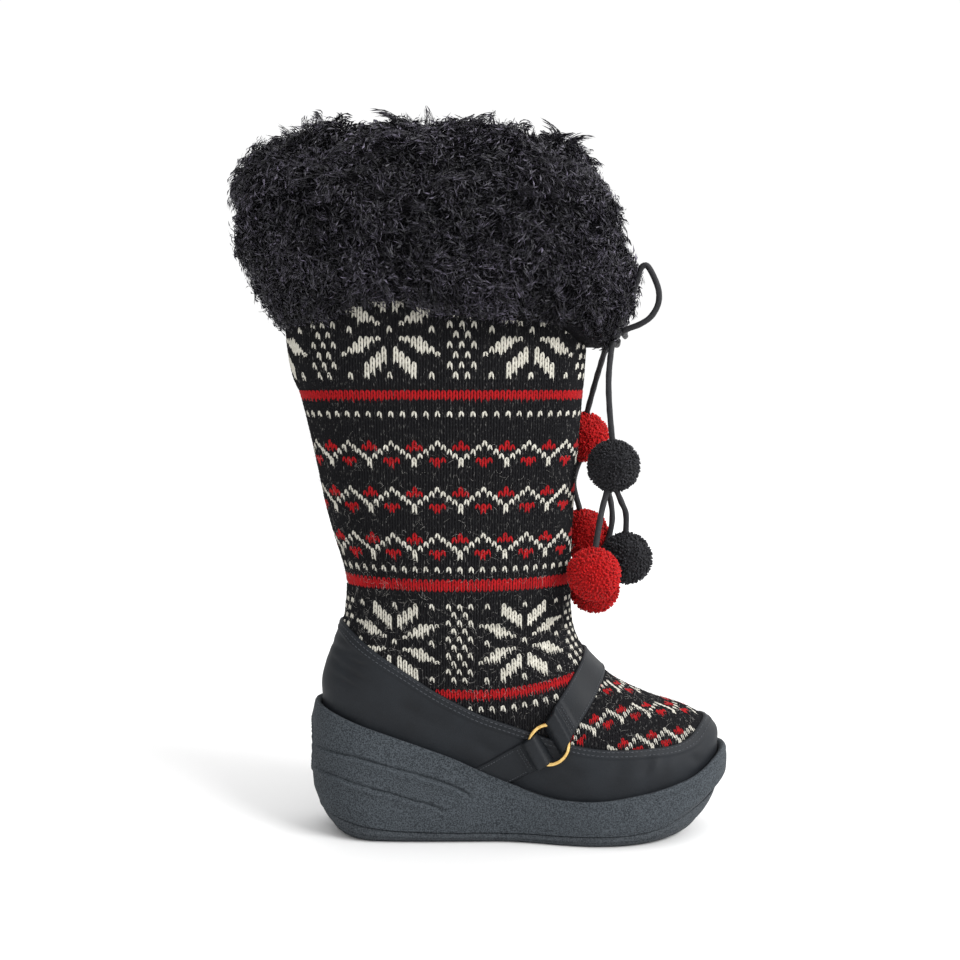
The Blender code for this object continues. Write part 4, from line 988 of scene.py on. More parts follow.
SIDE_COLUMNS = 360
TOE_TUCK = 0.0017          # how far the wedge's foot is drawn in at the toe
GROOVE_SWELL = 0.0011      # swelling of the wedge under each groove
GROOVE_REACHES = (0.0085, 0.0075)      # how far down the swelling goes, upper groove first
OVAL_RIM = 0.0010          # height of the rim round the heel's oval
LIP_LINE_DROP = 0.0048     # of the fine line under the lip, and its depth and half width
LIP_LINE_DEPTH = 0.0004
LIP_LINE_HALF = 0.0009
LIP_DEPTH = 0.002          # of the lip's inner edge
BASE_RISE = 0.0004         # of the wedge's underside inside its edge
SIDE_TOP = 0.80            # share of the side's height where the roll of the lip starts
SIDE_ROWS = 60
MOULD_LINE = 0.0007        # depth of the line round the outsole's side
FINE_TREAD = 0.0007        # depth of the fine tread, and its pitch
FINE_PITCH = 0.0052


def table_row(table, rise):
    """A row of a side table between its own rows, smoothly, at a rise from 0 to 1."""
    rows = np.array(table)
    heights = rows[:, -1]
    place = np.interp(rise, heights, np.arange(len(rows)))
    low = int(min(place, len(rows) - 2))
    t = place - low
    before, after = rows[max(low - 1, 0)], rows[min(low + 2, len(rows) - 1)]
    return curve(before, rows[low], rows[low + 1], after, t)[:-1]


def sole_ring(table, rise, turn, low_line, high_line):
    back, front, heel, waist, ball = table_row(table, rise)
    x, y, _ = outline(turn, back * SOLE_LENGTH, front * SOLE_LENGTH, heel * HALF_BALL, waist * HALF_BALL,
                      ball * HALF_BALL, *SOLE_ROUNDS, 1.0)
    low, high = soft_line(low_line, x), soft_line(high_line, x)
    return xyz(x, y, low + (high - low) * rise)


def from_segment(x, z, begin, way):
    """How far along a segment each point lies, as a share of it, and how far from it."""
    t = ((x - begin[0]) * way[0] + (z - begin[1]) * way[1]) / way.dot(way)
    held = np.clip(t, 0, 1)
    return t, np.hypot(x - begin[0] - way[0] * held, z - begin[1] - way[1] * held)


def line_distance(route, x, z):
    """Distance from points (x, z) to a drawn line, and how far along it the nearest place is."""
    line = smooth_route([(px * SOLE_LENGTH, 0.0, pz * SOLE_HEIGHT) for px, pz in route], 0.002)[:, [0, 2]]
    start, step = line[:-1], np.diff(line, axis=0)
    best = np.full(x.shape, 1.0)
    where = np.zeros(x.shape)
    for index, (begin, way) in enumerate(zip(start, step)):
        t, distance = from_segment(x, z, begin, way)
        nearer = distance < best
        best = np.where(nearer, distance, best)
        where = np.where(nearer, (index + np.clip(t, 0, 1)) / len(step), where)
    return best, where


def lift_grid(points, lift):
    return points + grid_normals(points) * lift[..., None]


def make_midsole(surface, finishes):
    """The wedge: moulded side with two curved grooves a side, a rolled lip and a plain heel oval."""
    turn = np.linspace(0, 2 * math.pi, SIDE_COLUMNS, endpoint=False)
    stretch = TURNS // SIDE_COLUMNS
    feather = surface.points[0, ::stretch]
    outward = unit(surface.normals[0, ::stretch] * np.array([1, 1, 0]))
    rises = np.concatenate([[0.0, 0.015, 0.04], np.linspace(0.07, SIDE_TOP, SIDE_ROWS)])
    side = [sole_ring(MIDSOLE_SIDE, rise, turn, PARTING_LINE, LIP_LINE) for rise in rises]
    lip_outer = feather + outward * (WELT + SOLE_LIP)
    top = xyz(lip_outer[:, 0], lip_outer[:, 1], soft_line(LIP_LINE, lip_outer[:, 0]))
    last = side[-1]
    for share in (0.25, 0.5, 0.72, 0.88, 0.97):
        bend = math.sin(share * math.pi / 2)
        ring = last + (top - last) * share
        ring[:, :2] = last[:, :2] + (top[:, :2] - last[:, :2]) * (1 - math.cos(share * math.pi / 2))
        ring[:, 2] = last[:, 2] + (top[:, 2] - last[:, 2]) * bend
        side.append(ring)
    side = np.array(side)
    low = 1 - ease(rises / 0.30)
    toe = ease((side[:len(rises), :, 0] / SOLE_LENGTH - 0.33) / 0.14)
    side[:len(rises), :, 0] -= TOE_TUCK * low[:, None] * toe
    x, z = side[..., 0], side[..., 2]
    lift = np.zeros(x.shape)
    for route, reach in zip((UPPER_GROOVE, LOWER_GROOVE), GROOVE_REACHES):
        distance, where = line_distance(route, x, z)
        fade = ease(where / 0.10) * 0.5 + 0.5
        lift -= GROOVE * 0.66 * np.exp(-(distance / (GROOVE * 0.36)) ** 2) * fade
        below = np.clip((line_height(route, x) - z) / reach, 0, 1)
        inside = ease((x / SOLE_LENGTH - route[0][0] + 0.03) / 0.05)
        inside = inside * ease((route[-1][0] - x / SOLE_LENGTH) / 0.02)
        lift += GROOVE_SWELL * np.exp(-(below * 2.2) ** 2) * (below > 0) * inside
    oval = np.hypot(side[..., 1] / HEEL_OVAL[0],
                    (z / SOLE_HEIGHT - HEEL_OVAL_Z) * SOLE_HEIGHT / HEEL_OVAL[1])
    heel = x < -0.45 * SOLE_LENGTH
    lift -= heel * HEEL_OVAL[2] * ease((1.06 - oval) / 0.12)
    lift += heel * OVAL_RIM * np.exp(-((oval - 1.14) / 0.07) ** 2)
    above = z - soft_line(LIP_LINE, x) + LIP_LINE_DROP
    lift -= LIP_LINE_DEPTH * np.exp(-(above / LIP_LINE_HALF) ** 2)
    side = lift_grid(side, lift)
    rings = list(side) + [top, feather + outward * WELT * 1.4]
    rings[-1][:, 2] = soft_line(LIP_LINE, rings[-1][:, 0]) - 0.0002
    low = feather + outward * WELT
    rings.append(xyz(low[:, 0], low[:, 1], soft_line(LIP_LINE, low[:, 0]) - LIP_DEPTH))
    for shrink in (1.0, 0.8, 0.5, 0.2, 0.0):
        rings.append(xyz(low[:, 0], low[:, 1] * shrink, soft_line(FOOTBED_LINE, low[:, 0])))
    base = rings[0]
    lower = [xyz(base[:, 0], base[:, 1] * shrink, base[:, 2] + BASE_RISE)
             for shrink in (0.0, 0.4, 0.8, 0.97)]
    rings = np.array(lower + rings)
    faces = grid_faces(len(rings), SIDE_COLUMNS)
    piece = make_object("wedge", rings.reshape(-1, 3), faces, finishes["foam"])
    close_ends(piece)
    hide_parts("midsole")


def close_ends(piece):
    """Weld a flattened end loop, so the mesh is closed there."""
    work = bmesh.new()
    work.from_mesh(piece.data)
    bmesh.ops.remove_doubles(work, verts=work.verts, dist=0.00002)
    bmesh.ops.dissolve_degenerate(work, edges=work.edges, dist=0.000005)
    bmesh.ops.recalc_face_normals(work, faces=work.faces)
    work.to_mesh(piece.data)
    work.free()
    piece.data.shade_smooth()


def make_outsole(finishes):
    """The walking layer: side with a mould line, cross lugs and fine tread between them."""
    turn = np.linspace(0, 2 * math.pi, SIDE_COLUMNS, endpoint=False)
    side = []
    for rise in (0.0, 0.10, 0.20, 0.30, 0.38, 0.44, 0.50, 0.58, 0.70, 0.82, 0.92, 1.0):
        ring = sole_ring(OUTSOLE_SIDE, rise, turn, FLOOR_LINE, PARTING_LINE)
        ring[:, 2] -= rise * 2 * GAP
        side.append(ring)
    side = np.array(side)
    side[5] -= grid_normals(side)[5] * MOULD_LINE
    edge = side[0]
    bottom = []
    for share in np.linspace(0.0, 0.985, 34):
        x, y = edge[:, 0], edge[:, 1] * share
        relief = np.zeros(x.shape)
        for place in LUG_PLACES:
            relief = np.maximum(relief, ease((LUG_GROOVE * 0.75 - np.abs(x - place * SOLE_LENGTH)) / 0.0012)
                                * LUG_GROOVE * 0.65)
        border = ease((0.93 - share) / 0.03)
        ripple = np.sin((x + 0.004 * np.cos(y * 240)) * 2 * math.pi / FINE_PITCH)
        fine = ease((ripple - 0.2) / 0.5) * FINE_TREAD
        bottom.append(xyz(x, y, edge[:, 2] + np.maximum(relief, fine * border)))
    top = side[-1]
    lids = [xyz(top[:, 0], top[:, 1] * shrink, top[:, 2]) for shrink in (0.9, 0.5, 0.0)]
    rings = np.array(bottom + list(side) + lids)
    faces = grid_faces(len(rings), SIDE_COLUMNS)
    piece = make_object("tread", rings.reshape(-1, 3), faces, finishes["tread"])
    close_ends(piece)
    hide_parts("outsole")


# Leather foxing

BAND = 0.0058              # width of the folded edge band
BAND_LIFT = 0.00055        # how far the band stands over the rest
CREASE_GAIN = 1.25         # the creases' depth over the depths in their table
SEWN_LINES = (0.0016, 0.0042)      # distances of the two sewn rows from the edge
THREAD_LIFT = 0.00040
FOXING_FOOT = 0.0012       # from the upper's foot to the leather's lower edge
# Distances of the close rows from the leather's edge, which carry the band and its seams
NEAR_EDGE = (0.0, 0.0004, 0.0009, 0.0018, 0.0029, 0.0041, 0.0050, 0.0056, 0.0062, 0.0070)
# Creases of the leather, from (x, z) to (x, z) as shares of the sole's length and height, then
# depth and half width in metres
CREASES = [
    (0.302, 0.665, 0.268, 0.500, 0.0011, 0.0028), (0.335, 0.640, 0.318, 0.520, 0.0006, 0.0022),
    (0.232, 0.640, 0.205, 0.520, 0.0006, 0.0030), (-0.448, 1.330, -0.360, 1.245, 0.0008, 0.0022),
    (-0.455, 1.420, -0.375, 1.360, 0.0007, 0.0020), (-0.440, 1.230, -0.372, 1.150, 0.0005, 0.0020),
    (-0.437, 1.285, -0.352, 1.190, 0.0010, 0.0015), (-0.432, 1.365, -0.345, 1.292, 0.0010, 0.0014),
    (-0.300, 1.060, -0.180, 0.870, 0.0005, 0.0040), (-0.120, 0.800, -0.040, 0.640, 0.0005, 0.0032),
    (0.385, 0.640, 0.420, 0.560, 0.0005, 0.0022), (0.070, 0.610, 0.150, 0.520, 0.0005, 0.0030),
]


def crease_depth(x, z):
    depth = np.zeros(x.shape)
    for x0, z0, x1, z1, deep, half in CREASES:
        begin = np.array([x0 * SOLE_LENGTH, z0 * SOLE_HEIGHT])
        way = np.array([x1 * SOLE_LENGTH, z1 * SOLE_HEIGHT]) - begin
        t, distance = from_segment(x, z, begin, way)
        along = np.sin(math.pi * np.clip(t, 0.02, 0.98))
        depth += deep * along * (np.exp(-(distance / half) ** 2)
                                 - 0.45 * np.exp(-((distance - 2.0 * half) / half) ** 2))
    return depth


def column_lengths(surface, columns):
    """Length of each column of the surface from its foot, as a table per row."""
    points = surface.points[:, columns]
    steps = np.linalg.norm(np.diff(points, axis=0), axis=2)
    return np.concatenate([np.zeros((1, len(columns))), np.cumsum(steps, axis=0)])


def thread_rows(name, lines, finish, pitch=0.0029, long=0.0021, thick=0.00026):
    """Sewn stitches along lines of (points, outward directions), each a short lump of thread."""
    centres, ways, outs = [], [], []
    for line, out in lines:
        length = lengths_along(line)
        places = np.arange(pitch / 2, length[-1] - pitch / 2, pitch)
        centres.append(read_line(line, length, places))
        ahead, behind = (read_line(line, length, places + step) for step in (long / 2, -long / 2))
        ways.append(unit(ahead - behind))
        outs.append(unit(read_line(out, length, places)))
    centre, way, out = np.concatenate(centres), np.concatenate(ways), np.concatenate(outs)
    side = unit(np.cross(way, out))
    loops = []
    for along, wide, high in ((-0.5, 0.25, -0.8), (-0.34, 0.9, 0.35), (0.0, 1.0, 0.62), (0.34, 0.9, 0.35),
                              (0.5, 0.25, -0.8)):
        middle = centre + way * along * long + out * thick * high
        for angle in (0.0, 0.5, 1.0, 1.5):
            turn = angle * math.pi
            loops.append(middle + thick * wide * (math.cos(turn) * side + math.sin(turn) * out))
    block = np.stack(loops, axis=1)
    faces = []
    for band in range(4):
        for corner in range(4):
            low, after = band * 4 + corner, band * 4 + (corner + 1) % 4
            faces += [(low, low + 4, after + 4), (low, after + 4, after)]
    faces += [(0, 1, 2), (0, 2, 3), (18, 17, 16), (19, 18, 16)]
    faces = np.array(faces)[None] + (np.arange(len(centre)) * 20)[:, None, None]
    piece = make_object(name, block.reshape(-1, 3), faces.reshape(-1, 3), finish)


def rise_at(table, lengths):
    """Rise at a length from the foot, column by column: lengths[..., column]."""
    rows = np.arange(RISES)
    return np.stack([np.interp(lengths[..., k], table[:, k], rows) for k in range(table.shape[1])], axis=-1)


def make_foxing(surface, finishes):
    """Leather counter and toe guard, with a folded edge band and two sewn rows."""
    columns = np.arange(0, TURNS, 3)
    edge = surface.contours(surface.points[..., 2] - foxing_top(surface.points[..., 0]), [0.0])[0, columns]
    table = column_lengths(surface, columns)
    whole = np.array([np.interp(edge[k], np.arange(RISES), table[:, k]) for k in range(len(columns))])
    top_x = surface.at(edge, columns.astype(float))[:, 0]
    slope = (foxing_top(top_x + 0.002) - foxing_top(top_x - 0.002)) / 0.004
    lean = np.sqrt(1 + np.minimum(np.abs(slope), 1.2) ** 2)
    rows = [FOXING_FOOT + (whole - NEAR_EDGE[-1] * lean - FOXING_FOOT) * share
            for share in np.linspace(0, 1, 27)[:-1]]
    rows = np.array(rows + [whole - distance * lean for distance in NEAR_EDGE[::-1]])
    gaps = (whole - rows) / lean
    rise = rise_at(table, rows)
    column = np.broadcast_to(columns.astype(float), rise.shape)
    flat = surface.at(rise, column)
    x, z = flat[..., 0], flat[..., 2]
    lift = GAP + LEATHER - CREASE_GAIN * crease_depth(x, z)
    wave = np.sin(x * 95 + z * 60) * np.sin(z * 130 - x * 40 + 1.0) + 0.6 * np.sin(x * 210 - z * 170)
    lift += 0.00016 * wave * ease(gaps / 0.02)
    lift += BAND_LIFT * (1 - ease((gaps - BAND + 0.0006) / 0.0012))
    lift -= 0.0012 * (1 - np.clip(gaps / 0.0009, 0, 1)) ** 2
    for place in SEWN_LINES:
        lift -= 0.00022 * np.exp(-((gaps - place) / 0.0004) ** 2)
    outside = surface.grid(rise, column, lift)
    inside = surface.grid(rise, column, np.full(rise.shape, GAP))
    piece = wall("foxing_leather", outside, inside, finishes["leather"])
    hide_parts("foxing")
    lines = []
    for place in SEWN_LINES:
        rise = rise_at(table, whole - place * lean)
        closed = np.append(np.arange(len(columns)), 0)
        out = surface.out(rise, columns.astype(float))[closed]
        line = surface.at(rise, columns.astype(float))[closed] + out * (GAP + LEATHER + THREAD_LIFT)
        lines.append((line, out))
    thread_rows("foxing_thread", lines, finishes["thread"])


# Straps and ring

STRAP_LIFT = 2 * GAP + LEATHER    # the strap's back over the knit
STRAP_START = 0.0019       # from the ring's middle to each fold
STRAP_EDGE_SEAM = 0.0017   # distance of the sewn rows from the strap's edges
STRAP_END_SEAMS = (0.0134, 0.0152)     # distance of the sewn rows across it from its fold
FOLD_SPAN = 0.018          # length of the closely divided part at the fold
ROLL_SPAN = 0.0042         # length of the roll round the wire
FOLD_HELD = 0.0088         # where the strap starts to come down from the wire, and over what length
FOLD_FALL = 0.0040
LAP_END = 0.0164           # end of the folded-back layer
LAP_STEP = 0.0007          # step at its end, which the thinned edges and the back over the knit share
THIN_EDGE = 0.0010         # width of the thinned edge
RING_MAJOR = (RING_OUTSIDE - RING_WIRE) / 2
RING_STEPS = 96
WIRE_SIDES = 20


def ring_plane():
    """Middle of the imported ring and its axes, the last one outwards."""
    packed = np.array([vert.co[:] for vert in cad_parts["ring"].data.vertices])
    centre = packed.mean(axis=0)
    axes = np.linalg.svd(packed - centre)[2]
    axes[2] *= -np.sign(axes[2][1])
    return centre + axes[2] * 0.0003, axes


def side_axes(target):
    """Ring centre, the direction across a strap in the side view, and the one away from its fold."""
    size = np.array([SOLE_LENGTH, SOLE_HEIGHT])
    ring = np.array(RING_AT) * size
    way = unit(np.array(target) * size - ring)
    fold = unit(ring - np.array(TAB_TO) * size)
    return ring, np.array([-way[1], way[0]]), fold * np.sign(fold.dot(way))


def strap_line(surface, target, across, over):
    """Rises and columns along one line of a strap, from its fold in the ring to the sole."""
    ring, side, fold = side_axes(target)
    field = (surface.points[..., 0] - ring[0]) * side[0] + (surface.points[..., 2] - ring[1]) * side[1]
    upward = 1.0 if side[1] > 0 else -1.0
    columns = np.arange(TURNS // 8, TURNS - TURNS // 8 if over else TURNS * 3 // 8)
    rises = surface.contours(field * upward, [across * upward])[0][columns]
    points = surface.at(rises, columns.astype(float))
    x, z = points[:, 0] - ring[0], points[:, 2] - ring[1]
    keep = points[:, 2] > soft_line(LIP_LINE, points[:, 0]) - 0.002
    keep &= np.abs(x * side[0] + z * side[1] - across) < 0.0004
    keep &= (x * fold[0] + z * fold[1] > STRAP_START) | (columns > TURNS // 2)
    order = slice(None) if over else slice(None, None, -1)
    return rises[keep][order], columns[keep][order].astype(float)


def strap_grid(surface, target, steps, over):
    """A strap's grid: lines across it, each spaced evenly from the ring to the sole."""
    shares = np.linspace(-1, 1, 19)
    shares = np.sign(shares) * np.abs(shares) ** 0.75
    rows = []
    for share in shares:
        inside, columns = strap_line(surface, target, share * STRAP_WIDTH / 2, over)
        line = surface.at(inside, columns)
        length = lengths_along(line)
        places = np.linspace(0, FOLD_SPAN, steps // 3, endpoint=False)
        if over:
            ridge = np.interp(TURNS // 2, columns, length)
            places = np.concatenate([places, np.linspace(FOLD_SPAN, ridge, steps // 3, endpoint=False),
                                     np.linspace(ridge, length[-1], steps // 3)])
        else:
            places = np.concatenate([places, np.linspace(FOLD_SPAN, length[-1], steps - steps // 3)])
        rows.append([np.interp(places, length, table) for table in (inside, columns, length)])
    return shares, *np.array(rows).transpose(1, 0, 2)


def make_strap(surface, finishes, name, node, target, steps, over):
    """A leather strap that folds round the ring, with thinned edges and fine edge stitching."""
    shares, rises, columns, lengths = strap_grid(surface, target, steps, over)
    ring, _, fold = side_axes(target)
    flat = surface.at(rises, columns)
    reach = (flat[..., 0] - ring[0]) * fold[0] + (flat[..., 2] - ring[1]) * fold[1]
    reach = np.where(columns > TURNS / 2, 1.0, reach) - STRAP_START
    leather = ease((foxing_top(flat[..., 0]) + 0.002 - flat[..., 2]) / 0.004)
    back = LAP_STEP + (STRAP_LIFT - LAP_STEP) * leather
    roll = np.sin(math.pi / 2 * np.clip(reach / ROLL_SPAN, 0, 1))
    fall = 0.5 + 0.5 * np.cos(math.pi * np.clip((reach - FOLD_HELD) / FOLD_FALL, 0, 1))
    centre, axes = ring_plane()
    high = ((centre - flat) @ axes[2] + RING_WIRE / 2 + 0.0014) / (surface.out(rises, columns) @ axes[2])
    lift = back + LEATHER + LAP_STEP * (1 - ease((reach - LAP_END) / 0.001))
    lift += np.clip(high - lift, 0, 0.008) * fall
    edge = (1 - np.abs(shares)) * STRAP_WIDTH / 2
    lift -= LAP_STEP * (1 - np.clip(edge / THIN_EDGE, 0, 1))[:, None] ** 2
    lift -= 0.00018 * np.exp(-((edge - STRAP_EDGE_SEAM) / 0.0004) ** 2)[:, None]
    wave = np.sin(lengths * 150 + shares[:, None] * 2.0) * 0.00014 + np.sin(lengths * 63 + 1.0) * 0.00020
    lift += wave * ease((reach - 0.020) / 0.01)
    lift -= (1 - roll) * (lift - 0.0009)
    outside = surface.grid(rises, columns, lift)
    inside = surface.grid(rises, columns, np.where(reach < 0.0128, 0.0005, back))
    piece = wall(name, outside, inside, finishes["strap"], wrap=False)
    close_ends(piece)
    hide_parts(node)
    lines = []
    for share in (-1, 1):
        seam = share * (1 - STRAP_EDGE_SEAM / (STRAP_WIDTH / 2))
        place = np.interp(seam, shares, np.arange(len(shares)))
        low, mix = int(place), place - int(place)
        rise, column, high = (table[low] * (1 - mix) + table[low + 1] * mix
                              for table in (rises, columns, lift))
        keep = reach[low] > 0.0170
        lines.append((surface.grid(rise, column, high + 0.00002)[keep], surface.out(rise, column)[keep]))
    pick = np.arange(2, len(shares) - 2)
    for place in STRAP_END_SEAMS:
        spots = np.array([np.argmax(reach[k] > place) for k in pick]) - 1
        mix = (place - reach[pick, spots]) / (reach[pick, spots + 1] - reach[pick, spots])
        rise, column, high = (table[pick, spots] * (1 - mix) + table[pick, spots + 1] * mix
                              for table in (rises, columns, lift))
        lines.append((surface.grid(rise, column, high + 0.00004), surface.out(rise, column)))
    thread_rows(name + "_thread", lines, finishes["thread"], pitch=0.0019, long=0.0014, thick=0.00024)


def make_ring(finishes):
    """Smooth round wire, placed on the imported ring."""
    centre, (first, second, normal) = ring_plane()
    turn = np.linspace(0, 2 * math.pi, RING_STEPS, endpoint=False)[:, None]
    roll = np.linspace(0, 2 * math.pi, WIRE_SIDES, endpoint=False)[None, :]
    reach = RING_MAJOR + RING_WIRE / 2 * np.cos(roll)
    points = (centre + (reach * np.cos(turn))[..., None] * first + (reach * np.sin(turn))[..., None] * second
              + (RING_WIRE / 2 * np.sin(roll) * np.ones_like(turn))[..., None] * normal)
    faces = grid_faces(RING_STEPS, WIRE_SIDES)
    last, column = (RING_STEPS - 1) * WIRE_SIDES, np.arange(WIRE_SIDES)
    after = (column + 1) % WIRE_SIDES
    faces = np.concatenate([faces, np.stack([last + column, last + after, after, column], axis=1)])
    piece = make_object("ring_wire", points.reshape(-1, 3), faces, finishes["metal"])
    close_ends(piece)
    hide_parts("ring")


def make_insole(finishes):
    """The insole keeps its solid and gets the fleece."""
    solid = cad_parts["insole"]
    for slot in solid.material_slots:
        slot.material = finishes["inside"]


# Fur cuff

LOCKS = 950
LOCK_STRANDS = 22000
PILE_STRANDS = 44000
STRAND_STEPS = 7
ROOT_DEPTH = 0.0062        # of the strands' roots under the cuff's outline
STRAND_WIDTH = 0.00022
STRAY_HAIRS = 2600
HAIR_WIDTH = 0.00013
GOLDEN = 0.6180339887      # golden ratio, which scatters evenly
NEAR_BLOCK = 3000          # strands matched to their locks at a time
# How far the cuff is drawn in at the back and at the front: share of its height, metres
BACK_DRAW = [(0.0, 0.008), (0.15, 0.008), (0.37, 0.006), (0.6, 0.003), (0.82, 0.004), (0.92, 0.007),
             (1.0, 0.010)]
FRONT_DRAW = [(0.0, -0.005), (0.15, -0.005), (0.27, -0.001), (0.40, 0.005), (0.57, 0.012),
              (0.70, 0.016), (0.85, 0.019), (1.0, 0.021)]
# How far the lower edge of the pile is drawn up along the boot: x share of the sole's length, metres
HEM_LIFT = [(-0.62, 0.006), (-0.50, 0.009), (-0.43, 0.012), (-0.37, 0.020), (-0.26, 0.021), (-0.19, 0.013),
            (-0.06, 0.010), (0.04, 0.009), (0.09, 0.006), (0.13, -0.001), (0.165, -0.007), (0.25, -0.008)]


class Cuff:
    """Outline of the fur: by turn round the shaft and part of the way from its foot to its lining."""

    def __init__(self, surface):
        self.surface = surface
        self.low, self.top = upper_rings(surface.turn)[-2:]
        self.plan = unit(surface.normals[-1] * np.array([1, 1, 0]))
        self.height = FUR_CREST - FUR_FOOT
        table = [(out * FUR_DEPTH, rise) for out, rise in FUR_OUTSIDE]
        table += [(-UPPER_WALL - out * FUR_LINING, rise) for out, rise in FUR_INSIDE]
        section = smooth_route([(out, 0.0, rise * self.height) for out, rise in table], 0.002)
        self.section = section[:, [0, 2]]
        self.length = lengths_along(self.section)
        self.length /= self.length[-1]

    def blend(self, table, column):
        start = np.floor(column).astype(int)
        share = (column - start)[..., None]
        return table[start % TURNS] * (1 - share) + table[(start + 1) % TURNS] * share

    def at(self, column, part):
        out = np.interp(part, self.length, self.section[:, 0])
        rise = np.interp(part, self.length, self.section[:, 1])
        low, top, plan = (self.blend(table, column) for table in (self.low, self.top, self.plan))
        share = (1 - np.cos(column / TURNS * 2 * math.pi)) / 2
        dip = 0.045 * self.height * share ** 4 * ease((rise / self.height - 0.5) / 0.4)
        lift = read_table(HEM_LIFT, low[..., 0] / SOLE_LENGTH)
        fall = np.clip(1 - rise / self.height / 0.55, 0, 1) ** 1.5
        z = FUR_FOOT + rise - dip + lift * fall * (out > 0)
        along = (z[..., None] - low[..., 2:]) / (top[..., 2:] - low[..., 2:])
        point = low + (top - low) * along + plan * out[..., None]
        turn = np.cos(column / TURNS * 2 * math.pi)
        height = rise / self.height
        draw = read_table(BACK_DRAW, height) * np.clip(turn, 0, 1) ** 1.2
        draw = draw - read_table(FRONT_DRAW, height) * np.clip(-turn, 0, 1) ** 1.2
        point[..., 0] += draw * (1 - ease((part - 0.74) / 0.20))
        return point

    def frame(self, column, part):
        """Outward direction and the way down the pile."""
        down = self.at(column, part - 0.01) - self.at(column, part + 0.01)
        round_way = self.at(column + 3.0, part) - self.at(column - 3.0, part)
        out = unit(np.cross(down, round_way))
        flip = np.sign((out * self.blend(self.plan, column)).sum(axis=-1, keepdims=True) + 1e-9)
        upright = part[..., None] > 0.62
        out = np.where(upright, out * np.sign(out[..., 2:] + 0.35), out * flip)
        return out, unit(down)


def lumps(points, size, seed):
    """Smooth pseudo-random value from -1 to 1 for each point, with bumps of a size."""
    chooser = np.random.default_rng(seed)
    value = np.zeros(len(points))
    for _ in range(10):
        way = unit(chooser.normal(0, 1, 3))
        value += np.sin(points @ way * (2 * math.pi / size) * chooser.uniform(0.7, 1.5)
                        + chooser.uniform(0, 6.3))
    return np.clip(value / 3.0, -1, 1)


def spread(cuff, count, low_part, high_part):
    """Even scatter over the pile: columns and parts."""
    index = np.arange(count)
    column = (index * GOLDEN) % 1.0
    part = (index + 0.5) / count
    line = cuff.at(np.arange(TURNS + 1.0), np.full(TURNS + 1, 0.4))
    length = lengths_along(line)
    column = np.interp(column, length / length[-1], np.arange(TURNS + 1.0))
    column += dice.normal(0, 1.6, count)
    part = low_part + (high_part - low_part) * part
    return np.mod(column, TURNS), part


def fur_skin(cuff, finishes):
    """Lumpy hide under the strands, closed round the collar."""
    parts = np.linspace(0.0, 1.0, 54)
    columns = np.arange(0, TURNS, 4.0)
    column, part = np.meshgrid(columns, parts, indexing="ij")
    column, part = column.T, part.T
    points = cuff.at(column, part)
    out = cuff.frame(column, part)[0]
    flat = points.reshape(-1, 3)
    bump = swell(flat).reshape(part.shape) + lumps(flat, 0.007, 4).reshape(part.shape) * 0.0007
    depth = ROOT_DEPTH * 0.80 * np.clip(np.minimum(part / 0.10, (1.02 - part) / 0.12), 0.0, 1.0)
    outside = points - out * (depth - bump * np.clip(part / 0.06, 0, 1))[..., None]
    # Back face: up the inside of the collar, over its edge and down against the shaft
    rows = [outside]
    within = -UPPER_WALL - 3 * GAP
    inner = [(within, FUR_INSIDE[-1][1] * cuff.height + FUR_FOOT), (within, SHAFT_TOP + GAP),
             (2 * GAP, SHAFT_TOP + GAP), (2 * GAP, FUR_FOOT + 0.03), (2 * GAP, None)]
    low, top, plan = (cuff.blend(table, columns) for table in (cuff.low, cuff.top, cuff.plan))
    for out_by, level in inner:
        height = outside[0, :, 2] if level is None else np.full(len(columns), level)
        along = (height[:, None] - low[:, 2:]) / (top[:, 2:] - low[:, 2:])
        rows.append((low + (top - low) * along + plan * out_by)[None])
    rows.append(outside[:1])
    grid = np.concatenate(rows)
    faces = grid_faces(len(grid), len(columns))
    piece = make_object("fur_hide", grid.reshape(-1, 3), faces, finishes["skin"])
    close_ends(piece)
    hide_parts("fur_cuff")


def swell(points):
    """Broad soft lumps of the pile."""
    return lumps(points, 0.055, 11) * 0.0034 + lumps(points, 0.024, 12) * 0.0018


def swept(root, out, lie, length, start, finish, twist):
    """Paths that leave the skin and curl over: angles from the outward direction, in radians."""
    t = ((np.arange(STRAND_STEPS - 1) + 0.5) / (STRAND_STEPS - 1))[None, :, None]
    lean = start[:, None, None] + (finish - start)[:, None, None] * t ** 0.8
    swirl = np.cross(out, lie)[:, None, :]
    turn = twist[:, None, None] * t
    level = lie[:, None, :] * np.cos(turn) + swirl * np.sin(turn)
    stride = (length / (STRAND_STEPS - 1))[:, None, None]
    step = (out[:, None, :] * np.cos(lean) + level * np.sin(lean)) * stride
    path = np.concatenate([np.zeros((len(root), 1, 3)), np.cumsum(step, axis=1)], axis=1)
    return root[:, None, :] + path


def crimp(paths, out, size, turns):
    """Fine crimp along each strand."""
    count = len(paths)
    t = np.linspace(0, 1, STRAND_STEPS)[None, :, None]
    way = unit(paths[:, -1] - paths[:, 0])
    aside = unit(np.cross(way, out))
    upward = np.cross(aside, way)
    phase = dice.uniform(0, 2 * math.pi, (count, 1, 1)) + turns[:, None, None] * 2 * math.pi * t
    wave = np.cos(phase) * aside[:, None, :] + 0.8 * np.sin(phase * 1.13) * upward[:, None, :]
    return paths + wave * size[:, None, None] * t ** 0.5


